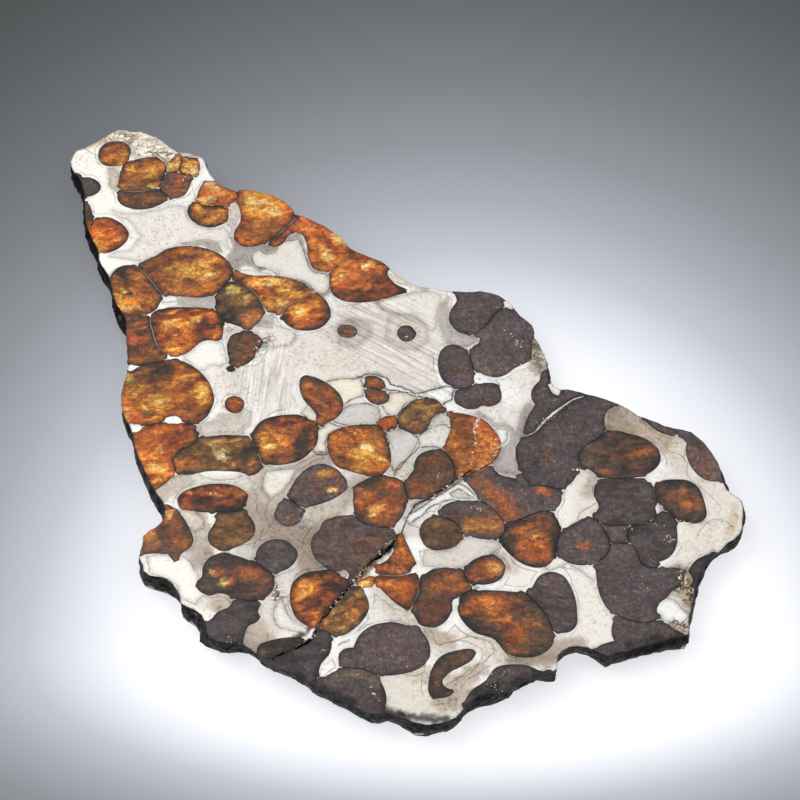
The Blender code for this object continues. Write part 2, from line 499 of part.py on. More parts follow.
            (-20.7, -40.6), (-20.9, -41.6), (-20.4, -42.5), (-21, -43.4), (-22, -43.9), (-23.3, -47.6),
            (-24.5, -48.6), (-28, -47.8), (-30.5, -45.5)
        ],
    ]),
    ("olivine_middle_dark", "dark", [
        [
            (-16.7, -19.5), (-16.2, -18), (-14.8, -15.6), (-12.9, -13.95), (-11.8, -13.6),
            (-10.6, -13.65), (-9.5, -14.3), (-6.95, -17.3), (-7, -18.4), (-7.6, -19.2), (-10.8, -21.2),
            (-11.9, -21.6), (-14.2, -21.9), (-16.4, -20.5)
        ],
        [
            (-18.9, -23.5), (-18.6, -22.3), (-18.2, -21.2), (-17.4, -20.6), (-16.4, -20.5),
            (-15.4, -21.1), (-13.95, -22.8), (-14.1, -23.9), (-14.6, -24.9), (-15.5, -25.5),
            (-16.6, -25.75), (-17.7, -25.3), (-18.5, -24.6)
        ],
    ]),
    ("olivine_middle_bright", "amber", [
        [
            (-10.45, -9), (-10.2, -8), (-9.6, -7.1), (-8.5, -6.5), (-4.8, -5.75), (-2.2, -6),
            (-0.9, -7.2), (-0.5, -8.2), (0.3, -12.5), (0.2, -13.8), (-0.5, -14.9), (-1.7, -15.6),
            (-3.2, -15.8), (-6, -15.2), (-8.5, -14), (-9.4, -13.1), (-10, -12), (-10.35, -10.5)
        ],
    ]),
    ("olivine_right_middle", "dark", [
        [
            (12.4, -16.6), (14.8, -14.7), (16.4, -13.9), (17.4, -14.5), (18.2, -15.5), (20.9, -16.4),
            (22.1, -15.2), (23.3, -17.4), (28.5, -18.7), (28.4, -21), (27.9, -21.9), (27.1, -22.5),
            (24.7, -22.8), (22.3, -23.9), (19.2, -24.9), (15.1, -20.5)
        ],
    ]),
    ("olivine_middle_pair", "dark", [
        [
            (4.95, -26.5), (5.3, -25.3), (6, -24.4), (6.9, -23.8), (8, -23.6), (10.3, -24.5),
            (11.3, -25.4), (11.8, -26.4), (12, -27.4), (11.7, -28.4), (11, -29.3), (10, -29.9),
            (8.5, -30.2), (7, -30.1), (6, -29.5), (5.3, -28.3)
        ],
        [
            (8.1, -23.5), (8.3, -22.6), (8.9, -21.7), (9.8, -21.2), (14.4, -20.9), (15.4, -21.1),
            (18.8, -25), (18.9, -26.3), (18.5, -27.3), (17.7, -27.9), (16.5, -28.2), (15.2, -28.1),
            (11.8, -27.1), (10.6, -25.4), (9.6, -24.9)
        ],
    ]),
    ("olivine_right_middle_round", "amber", [
        [
            (19.2, -25), (20.4, -24.9), (23.2, -23.5), (24.8, -23), (26.4, -22.9), (27.2, -23.6),
            (27.9, -25), (28, -26.3), (27.3, -28.9), (27, -31.3), (26.3, -32.5), (25.2, -33.3),
            (23.8, -33.5), (22.3, -33.1), (19, -30.2), (18.2, -29), (18.1, -27.9), (18.8, -27)
        ],
    ]),
]

# The outer side is not straight down: at each place, how far the foot and the middle stand out (mm)
SIDE_MM = [
    (-58.6, 52, 0.2, 0.3), (-56.8, 48.3, 0.3, 0.6), (-52.3, 32.2, 0.2, 0.6), (-48.6, 22, 0.2, 0.3),
    (-46.3, 16.9, 0.3, 1.4), (-45.8, 13.5, 0.1, 0.1), (-45.6, 6, 0, 0), (-45.7, 0, 0, 0),
    (-43, -12, 0.2, 0.3), (-36.8, -22.3, 0.5, 0.8), (-40.2, -27.5, 0, 0.1), (-39.9, -33, 0.6, 0.4),
    (-38.7, -34.9, -0.2, 0), (-35.9, -35.5, 0.2, 0.2), (-34, -37.6, -0.3, 0), (-31, -41.2, 0.4, 0.3),
    (-29.2, -44, 1.4, 0.7), (-28.4, -46, -0.5, 0), (-25, -47.2, -0.8, -0.2), (-20, -50.1, -1.4, -0.4),
    (-16.2, -52.1, -1.6, -0.5), (-12.3, -54.5, -1.1, -0.3), (-3, -59.5, -0.8, -0.2),
    (1.1, -59.9, -0.9, -0.2), (4.3, -61, -0.1, 0.1), (7.6, -61.2, -0.7, 0), (15.7, -56, -0.3, 0),
    (20, -54.8, -1.4, -0.4), (24, -52.9, -1.8, -0.6), (26.6, -51, 0, 0), (30, -47.7, -1.4, -0.6),
    (35.3, -49.3, -0.5, 0), (41, -47.5, -1, 0.4), (47.7, -44, 0.2, 0.3), (49, -38, 0, 0.7),
    (51, -33, -0.35, 0.5), (53.6, -30.5, -1.4, -0.4), (57.8, -25, 0.2, 0.4), (55.9, -18.6, 0.3, 1.3),
    (50, -4, 0.2, 0.3), (26.9, 4.8, 0.3, 0.9), (27, 7.2, 0.2, 0.3), (10, 24, 0.2, 0.3),
    (-25, 47, 0.2, 0.3),
]

# The metal that the crystals leave: each piece's name and a place on its top face (mm)
METAL_MM = {
    "metal_network": (-8.3, 6.9),
    "metal_right_network": (49.5, -28.5),
    "metal_right_middle": (31.3, -21.5),
    "metal_left_island": (-34.6, 20.4),
    "metal_left_corner": (-46.7, 18.1),
    "metal_shoulder_corner": (20.4, 19.5),
    "metal_upper_right": (27.9, 1.7),
    "metal_right_pocket": (44.0, -22.5),
}


def clear_scene():
    for item in list(bpy.data.objects):
        bpy.data.objects.remove(item, do_unlink=True)


def make_material(name, look):
    colour, metallic, roughness = LOOKS[look]
    material = bpy.data.materials.new(name)
    material.use_nodes = True
    surface = material.node_tree.nodes["Principled BSDF"]
    surface.inputs["Base Color"].default_value = colour
    surface.inputs["Metallic"].default_value = metallic
    surface.inputs["Roughness"].default_value = roughness
    return material


def as_points(outline_mm):
    """The outline as vectors in metres, running counterclockwise."""
    points = [Vector((x * MM, y * MM)) for x, y in outline_mm]
    turn = sum(a.cross(b) for a, b in zip(points, points[1:] + points[:1]))
    return points if turn > 0 else points[::-1]


def grown(points, offsets):
    """The outline with each corner moved outward, along its mitre, by its own offset."""
    moved = []
    for i, point in enumerate(points):
        before = (point - points[i - 1]).normalized()
        after = (points[(i + 1) % len(points)] - point).normalized()
        side_before = Vector((before.y, -before.x))
        side_after = Vector((after.y, -after.x))
        mitre = (side_before + side_after).normalized()
        moved.append(point + mitre * (offsets[i] / max(mitre.dot(side_after), SHARPEST_MITRE)))
    return moved


def closest_on_outline(place, points):
    """The place on the outline nearest to the one given."""
    best = None
    for a, b in zip(points, points[1:] + points[:1]):
        on_line, share = intersect_point_line(place, a, b)
        on_edge = a.lerp(b, min(max(share, 0.0), 1.0))
        if best is None or (on_edge - place).length < (best - place).length:
            best = on_edge
    return best


def is_inside(place, points):
    inside = False
    for a, b in zip(points, points[1:] + points[:1]):
        if (a.y > place.y) != (b.y > place.y):
            if place.x < a.x + (b.x - a.x) * (place.y - a.y) / (b.y - a.y):
                inside = not inside
    return inside


def add_solid(name, rings, split_sides=False):
    """A closed solid from rings of (points, height), bottom ring first."""
    shape = bmesh.new()
    loops = [[shape.verts.new((p.x, p.y, height)) for p in points] for points, height in rings]
    sides = []
    for lower, upper in zip(loops, loops[1:]):
        for i in range(len(lower)):
            j = (i + 1) % len(lower)
            sides.append(shape.faces.new((lower[i], lower[j], upper[j], upper[i])))
    if split_sides:
        bmesh.ops.triangulate(shape, faces=sides)
    shape.faces.new(loops[0][::-1])
    shape.faces.new(loops[-1])
    mesh = bpy.data.meshes.new(name)
    shape.to_mesh(mesh)
    shape.free()
    solid = bpy.data.objects.new(name, mesh)
    bpy.context.scene.collection.objects.link(solid)
    return solid


def reach(solid):
    """The lowest and highest corner of the solid's box."""
    corners = [vert.co for vert in solid.data.vertices]
    low = [min(corner[axis] for corner in corners) for axis in range(3)]
    high = [max(corner[axis] for corner in corners) for axis in range(3)]
    return low, high


def boxes_meet(first, second):
    first_low, first_high = reach(first)
    second_low, second_high = reach(second)
    return all(first_low[k] < second_high[k] and second_low[k] < first_high[k] for k in range(3))


def combine(body, tools, operation):
    """Applies a Boolean of the body with all the tools at once, apart from cutters that don't reach it."""
    group = bpy.data.collections.new("tools")
    for tool in tools:
        if operation == "UNION" or boxes_meet(body, tool):
            group.objects.link(tool)
    step = body.modifiers.new("combine", "BOOLEAN")
    step.operation = operation
    step.solver = "EXACT"
    step.operand_type = "COLLECTION"
    step.collection = group
    graph = bpy.context.evaluated_depsgraph_get()
    result = bpy.data.meshes.new_from_object(body.evaluated_get(graph))
    body.modifiers.clear()
    body.data = result
    bpy.data.collections.remove(group)


def side_offsets(points):
    """For each corner of the outer edge, how far the foot and the middle of the side stand out."""
    anchors = []
    for x, y, foot, middle in SIDE_MM:
        place = Vector((x * MM, y * MM))
        nearest = min(range(len(points)), key=lambda i: (points[i] - place).length)
        anchors.append((nearest, foot * MM, middle * MM))
    anchors = sorted({anchor[0]: anchor for anchor in anchors}.values())
    lengths = [(points[i] - points[i - 1]).length for i in range(len(points))]
    feet, middles = [0.0] * len(points), [0.0] * len(points)
    for start, end in zip(anchors, anchors[1:] + anchors[:1]):
        span = (end[0] - start[0]) % len(points)
        steps = [(start[0] + k) % len(points) for k in range(span + 1)]
        total = sum(lengths[i] for i in steps[1:])
        run = 0.0
        for k, i in enumerate(steps):
            run += lengths[i] if k else 0.0
            share = run / total
            feet[i] = start[1] + (end[1] - start[1]) * share
            middles[i] = start[2] + (end[2] - start[2]) * share
    return feet, middles


def make_plate():
    """The whole slice as one solid, with its uneven outer side."""
    edge = as_points(OUTER_EDGE_MM)
    feet, middles = side_offsets(edge)
    rings = [(grown(edge, feet), 0.0), (grown(edge, middles), MID_HEIGHT), (edge, THICKNESS)]
    return add_solid("slice_blank", rings, split_sides=True)


def prism(name, points, offset, bottom=-CUTTER_REACH, top=THICKNESS + CUTTER_REACH):
    outline = grown(points, [offset] * len(points))
    return add_solid(name, [(outline, bottom), (outline, top)])


def contact(first, second):
    """The middle of the stretch of the first outline that the second one touches."""
    touching = []
    for a, b in zip(first, first[1:] + first[:1]):
        steps = max(1, round((b - a).length / CONTACT_STEP))
        for k in range(steps):
            place = a.lerp(b, k / steps)
            apart = (closest_on_outline(place, second) - place).length
            if apart < CONTACT_REACH or is_inside(place, second):
                touching.append(place)
    if not touching:
        return None
    middle = sum(touching, Vector((0.0, 0.0))) / len(touching)
    return min(touching, key=lambda place: (place - middle).length)


def weld_outline(place, side):
    half = side / 2
    return [place + Vector(corner) for corner in ((-half, -half), (half, -half), (half, half), (-half, half))]


def make_crystals(plate):
    """Each crystal or cluster as one solid, and the cutters that clear its place in the metal."""
    cutters = []
    clusters = []
    for name, look, outlines_mm in CRYSTALS_MM:
        outlines = [as_points(outline) for outline in outlines_mm]
        bodies = []
        welds = []
        for i, outline in enumerate(outlines):
            crystal = prism(f"{name}_{i}", outline, -HALF_GAP)
            combine(crystal, [plate], "INTERSECT")
            combine(crystal, cutters, "DIFFERENCE")
            bodies.append(crystal)
            cutters.append(prism(f"{name}_{i}_cutter", outline, HALF_GAP))
            for earlier in outlines[:i][::-1]:
                place = contact(earlier, outline)
                if place:
                    welds.append(place)
                    break
        body = bodies[0]
        for i, place in enumerate(welds):
            square = weld_outline(place, WELD_SIDE)
            bodies.append(add_solid(f"{name}_weld_{i}", [(square, WELD_BOTTOM), (square, WELD_TOP)]))
            cutters.append(prism(f"{name}_weld_{i}_cutter", square, GAP, WELD_BOTTOM - GAP, WELD_TOP + GAP))
        if len(bodies) > 1:
            combine(body, bodies[1:], "UNION")
        for part in bodies[1:]:
            bpy.data.objects.remove(part, do_unlink=True)
        body.name = name
        clusters.append((body, look))
    return clusters, cutters


def split_metal(metal):
    """The metal's separate pieces, each named by the place that lies on its top face."""
    shape = bmesh.new()
    shape.from_mesh(metal.data)
    shape.faces.ensure_lookup_table()
    unseen = set(shape.faces)
    pieces = []
    while unseen:
        front = [unseen.pop()]
        island = set(front)
        while front:
            face = front.pop()
            for edge in face.edges:
                for other in edge.link_faces:
                    if other in unseen:
                        unseen.remove(other)
                        island.add(other)
                        front.append(other)
        pieces.append(island)
    parts = []
    for island in pieces:
        verts = list({vert for face in island for vert in face.verts})
        index = {vert: i for i, vert in enumerate(verts)}
        places = [vert.co.copy() for vert in verts]
        faces = [[index[vert] for vert in face.verts] for face in island]
        tree = BVHTree.FromPolygons(places, faces)
        for name, (x, y) in METAL_MM.items():
            nearest = tree.find_nearest(Vector((x * MM, y * MM, THICKNESS)))
            if nearest[3] < ON_FACE:
                mesh = bpy.data.meshes.new(name)
                mesh.from_pydata(places, [], faces)
                part = bpy.data.objects.new(name, mesh)
                bpy.context.scene.collection.objects.link(part)
                parts.append(part)
    shape.free()
    return parts


def centre_on_underside(parts):
    """Moves the meshes so that the object's origin is the middle of its underside."""
    boxes = [reach(part) for part in parts]
    low = [min(box[0][axis] for box in boxes) for axis in range(3)]
    high = [max(box[1][axis] for box in boxes) for axis in range(3)]
    shift = Vector(((low[0] + high[0]) / 2, (low[1] + high[1]) / 2, low[2]))
    for part in parts:
        for vert in part.data.vertices:
            vert.co -= shift


def main():
    clear_scene()
    plate = make_plate()
    clusters, cutters = make_crystals(plate)
    combine(plate, cutters, "DIFFERENCE")
    parts = split_metal(plate)
    looks = [(part, "metal") for part in parts] + clusters
    for tool in cutters + [plate]:
        bpy.data.objects.remove(tool, do_unlink=True)
    for part, look in looks:
        part.data.materials.clear()
        part.data.materials.append(make_material(f"{part.name}_surface", look))
    centre_on_underside([part for part, look in looks])


main()
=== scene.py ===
import math
import random
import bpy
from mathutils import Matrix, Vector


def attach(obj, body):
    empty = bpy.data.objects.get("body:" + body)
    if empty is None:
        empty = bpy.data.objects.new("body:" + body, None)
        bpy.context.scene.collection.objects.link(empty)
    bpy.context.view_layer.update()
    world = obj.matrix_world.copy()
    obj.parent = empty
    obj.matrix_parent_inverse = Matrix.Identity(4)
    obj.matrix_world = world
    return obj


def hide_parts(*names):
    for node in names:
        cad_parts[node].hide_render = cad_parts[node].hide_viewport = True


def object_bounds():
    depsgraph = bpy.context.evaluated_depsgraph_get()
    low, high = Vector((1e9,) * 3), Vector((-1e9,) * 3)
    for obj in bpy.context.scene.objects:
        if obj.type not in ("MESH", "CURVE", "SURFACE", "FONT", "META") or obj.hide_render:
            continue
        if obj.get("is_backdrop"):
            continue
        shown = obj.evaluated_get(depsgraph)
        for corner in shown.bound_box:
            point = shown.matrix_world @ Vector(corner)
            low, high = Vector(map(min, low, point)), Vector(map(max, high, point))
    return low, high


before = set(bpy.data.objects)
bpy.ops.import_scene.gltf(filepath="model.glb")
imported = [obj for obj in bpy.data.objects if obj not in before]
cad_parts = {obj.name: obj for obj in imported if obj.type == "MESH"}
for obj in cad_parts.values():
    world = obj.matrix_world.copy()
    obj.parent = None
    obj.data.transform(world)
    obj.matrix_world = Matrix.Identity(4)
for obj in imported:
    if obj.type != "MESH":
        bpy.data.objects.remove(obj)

from types import SimpleNamespace

import bpy
import numpy as np
from mathutils import Vector, kdtree
from mathutils.geometry import delaunay_2d_cdt

CAD_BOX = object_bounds()

# Everything below is in millimetres until a mesh is made
MM = 0.001
THICKNESS = 5.0
# The tables' origin, seen from the middle of the slice's underside
TABLE_ORIGIN = np.array([-0.1236, 0.7843])

# Spacing of the fine grid and of the points along outlines
GRID_STEP = 0.3
EDGE_STEP = 0.3
# Share of a grid step that the grid keeps clear of lines, and how far it is jittered
CLEAR_OF_EDGE = 0.55
GRID_JITTER = 0.12
# Rows of points beside the crystals' outlines and the hairlines, and how far they keep from other lines
ROW_INSIDE = 0.16
ROW_OUTSIDE = 0.13
HAIRLINE_SIDE = 0.17
DARK_LINE_SIDE = 0.27
DARK_LINE_STRENGTH = 0.85
ROW_CLEAR = 0.08
# How much crystals are larger than their solids, and the gap that is left between the meshes
CRYSTAL_GROW = 0.09
CRYSTAL_SHRINK = 0.035
# Crystals nearer to the outer edge than EDGE_NEAR reach this far past it before they are cut
PAST_EDGE = 0.4
EDGE_NEAR = 0.45
EDGE_FADE = 0.25
# Crystals nearer to each other than TOUCHING are drawn together up to a vein
TOUCHING = 0.95
DRAWN_FADE = 0.4
VEIN = 0.1
# How far metal beside a narrow vein still counts as vein
VEIN_REACH = 0.2
SHARP_TURN = math.radians(48)
# How far outlines and lines waver
EDGE_WAVER = 0.035
OUTER_WAVER = 0.09
FIELD_WAVER = 0.2
LINE_WAVER = 0.25
# Open cracks are sunk only where they are this far from the outer edge and from the crystals' outlines
SINK_FROM_EDGE = 0.3
SINK_FROM_RIM = 0.1
# How quickly a soft stroke fades at its edge
STROKE_EDGE = 5

OUTER_EDGE = [
    (-58.6, 52), (-58.2, 53.3), (-57.8, 54.5), (-56.4, 55.2), (-55.3, 56), (-54, 56.8), (-52.7, 57.9),
    (-51.5, 58.9), (-50.5, 59.6), (-49.3, 59.6), (-47.9, 59.2), (-46.5, 59.3), (-45.2, 58.8), (-44.1, 58.1),
    (-43.2, 57.8), (-42.2, 57), (-41.2, 56), (-39.8, 54.9), (-38.6, 54.3), (-37, 54), (-35.4, 53.4),
    (-34.5, 52.9), (-34, 51.9), (-33.6, 50.6), (-33, 49.2), (-32.2, 48), (-31.5, 46.9), (-30.5, 46.2),
    (-29.2, 45.4), (-27.9, 45.1), (-26.7, 45.4), (-25.4, 45.2), (-23.9, 44.8), (-22.4, 44.4), (-20.9, 43.9),
    (-19.6, 43), (-18.6, 42), (-17.7, 41), (-17.1, 39.6), (-15.9, 39.3), (-14.7, 38.7), (-13.4, 37.8),
    (-12.1, 37.1), (-11.1, 36.3), (-10.1, 35.5), (-8.9, 34.4), (-8, 33.1), (-7.1, 31.9), (-5.7, 31),
    (-4.3, 30.3), (-2.9, 29.6), (-1.5, 28.9), (-0.4, 28), (0.4, 26.8), (1.3, 25.8), (2.5, 24.9), (3.8, 24),
    (5.2, 23.3), (6.6, 23.1), (7.9, 23), (9.1, 22.5), (11, 22.3), (13, 22.2), (14.7, 22.2), (15.9, 22.4),
    (17.6, 22), (19.1, 21.5), (20.2, 20.5), (21.3, 19.4), (22, 18.1), (22.9, 16.9), (23.9, 15.9), (24.8, 14.9),
    (25, 13.5), (25.1, 12.2), (25.8, 11.1), (26.2, 9.8), (26.7, 8.6), (27, 7.2), (27.1, 5.9), (26.9, 4.8),
    (27.2, 3.6), (27.5, 2.8), (28.3, 2), (29.3, 1.4), (30.3, 1.5), (31.8, 1.1), (33.4, 0.6), (35, 0.1),
    (36.6, -0.5), (38, -1.1), (39.4, -1.8), (40.8, -2.8), (42.1, -3.9), (43.5, -4.5), (45, -5.2), (46.5, -6),
    (48, -6.5), (49.6, -6.8), (50.9, -7.3), (51.9, -8.3), (52.8, -9.4), (53.5, -10.6), (54.2, -11.8),
    (54.7, -13), (55, -14.4), (55.2, -15.8), (55.4, -17.2), (55.9, -18.6), (56.9, -19.6), (58, -20.6),
    (58.3, -21.8), (58.2, -23.3), (57.9, -24.8), (57.8, -26), (57.2, -27.2), (56.3, -28.2), (55.2, -28.8),
    (54.4, -29.7), (53.6, -30.5), (52.6, -31.2), (51.5, -32.3), (50.7, -33.6), (50.1, -34.9), (49.6, -36.2),
    (49.2, -37.6), (48.8, -38.9), (48.5, -40.1), (48.3, -41.3), (48, -42.3), (47.7, -43.3), (47.8, -44.6),
    (47.6, -45.6), (46.4, -46), (44.9, -46.2), (43.4, -46.8), (41.9, -47.2), (40.3, -47.7), (38.8, -48.2),
    (37.3, -48.6), (35.8, -48.9), (34.6, -49.5), (33.7, -49.2), (32.6, -48.5), (31.4, -47.9), (30, -47.7),
    (28.6, -47.9), (27.5, -48.5), (26.8, -49.3), (26.6, -50.4), (26.6, -51.5), (25.6, -52.3), (24.2, -52.8),
    (22.7, -53.3), (21.3, -54), (20.1, -54.8), (18.9, -55.5), (17.4, -55.9), (15.7, -56), (14.3, -56.3),
    (13.1, -57), (12.2, -57.9), (11.4, -59), (10.5, -60.1), (9.2, -60.8), (7.6, -61.2), (5.9, -61.4),
    (4.3, -61), (2.7, -60.4), (1.1, -59.9), (-0.3, -59.3), (-1.6, -59.6), (-3, -59.5), (-4.3, -58.8),
    (-5.6, -58.1), (-7, -57.2), (-8.5, -56.5), (-9.9, -55.7), (-11.2, -55.2), (-12.3, -54.5), (-13.5, -53.6),
    (-14.8, -52.8), (-16.2, -52.1), (-17.6, -51.5), (-18.9, -50.9), (-20, -50.1), (-20.9, -49.1),
    (-21.8, -48.2), (-22.9, -47.4), (-24.2, -47.1), (-25.7, -47.2), (-27.1, -46.8), (-28.4, -46),
    (-29.1, -44.9), (-29.2, -43.6), (-29.8, -42.2), (-31, -41.2), (-32.3, -40.6), (-33.3, -40), (-33.5, -38.8),
    (-34, -37.6), (-34.8, -36.4), (-35.9, -35.5), (-37.3, -35.1), (-38.7, -34.9), (-39.6, -34), (-39.9, -32.8),
    (-40.6, -31.5), (-40.3, -30.1), (-40.1, -28.8), (-40.2, -27.5), (-39.3, -26.5), (-38.1, -25.8),
    (-37.2, -24.8), (-36.9, -23.6), (-36.8, -22.3), (-37.3, -20.9), (-38.1, -19.8), (-38.9, -18.6),
    (-39.5, -17.5), (-40.1, -16.2), (-40.7, -14.9), (-41.3, -13.5), (-42, -12), (-42.5, -10.7), (-42.9, -9.2),
    (-43.1, -7.8), (-43.6, -6.5), (-44.3, -5.2), (-45, -3.8), (-45.4, -2.3), (-45.6, -0.8), (-45.7, 0.7),
    (-45.5, 2.2), (-45.2, 3.7), (-45, 5.2), (-44.9, 6.6), (-45.1, 8.1), (-45.3, 9.6), (-45.5, 11.1),
    (-45.7, 12.6), (-45.8, 14.1), (-45.9, 15.5), (-46.3, 16.9), (-46.9, 18.1), (-47.7, 19.2), (-48.2, 20.4),
    (-48.6, 21.7), (-49, 23.1), (-49.3, 24.5), (-49.7, 25.8), (-50.4, 27), (-51.1, 28.1), (-51.6, 29.4),
    (-51.8, 30.8), (-52.3, 32.2), (-53, 33.5), (-53.7, 35), (-54.2, 36.5), (-54.7, 38.1), (-55, 39.7),
    (-55.2, 41.3), (-55.3, 42.8), (-55.4, 44.2), (-55.8, 45.6), (-56.2, 47), (-56.8, 48.3), (-57.8, 49.5),
    (-58.3, 50.7),
]

# The outer side: at each place, how far the foot and the middle stand out from the top edge
SIDE = [
    (-58.6, 52, 0.2, 0.3), (-56.8, 48.3, 0.3, 0.6), (-52.3, 32.2, 0.2, 0.6), (-48.6, 22, 0.2, 0.3),
    (-46.3, 16.9, 0.3, 1.4), (-45.8, 13.5, 0.1, 0.1), (-45.6, 6, 0, 0), (-45.7, 0, 0, 0), (-43, -12, 0.2, 0.3),
    (-36.8, -22.3, 0.5, 0.8), (-40.2, -27.5, 0, 0.1), (-39.9, -33, 0.6, 0.4), (-38.7, -34.9, -0.2, 0),
    (-35.9, -35.5, 0.2, 0.2), (-34, -37.6, -0.3, 0), (-31, -41.2, 0.4, 0.3), (-29.2, -44, 1.4, 0.7),
    (-28.4, -46, -0.5, 0), (-25, -47.2, -0.8, -0.2), (-20, -50.1, -1.4, -0.4), (-16.2, -52.1, -1.6, -0.5),
    (-12.3, -54.5, -1.1, -0.3), (-3, -59.5, -0.8, -0.2), (1.1, -59.9, -0.9, -0.2), (4.3, -61, -0.1, 0.1),
    (7.6, -61.2, -0.7, 0), (15.7, -56, -0.3, 0), (20, -54.8, -1.4, -0.4), (24, -52.9, -1.8, -0.6),
    (26.6, -51, 0, 0), (30, -47.7, -1.4, -0.6), (35.3, -49.3, -0.5, 0), (41, -47.5, -1, 0.4),
    (47.7, -44, 0.2, 0.3), (49, -38, 0, 0.7), (51, -33, -0.35, 0.5), (53.6, -30.5, -1.4, -0.4),
    (57.8, -25, 0.2, 0.4), (55.9, -18.6, 0.3, 1.3), (50, -4, 0.2, 0.3), (26.9, 4.8, 0.3, 0.9),
    (27, 7.2, 0.2, 0.3), (10, 24, 0.2, 0.3), (-25, 47, 0.2, 0.3),
]

# Heights of the rings that make the outer side, and how strongly each is roughened
SIDE_RINGS = [(5.0, 0.0), (4.82, 0.5), (4.3, 1.0), (3.6, 1.2), (2.9, 1.2), (2.2, 1.2), (1.5, 1.2),
              (0.8, 0.8), (0.3, 0.4), (0.0, 0.15)]
SIDE_ROUGH = 0.2
# How far in from the outer edge the uneven side bends the inner walls too
SIDE_DEPTH = 2.4

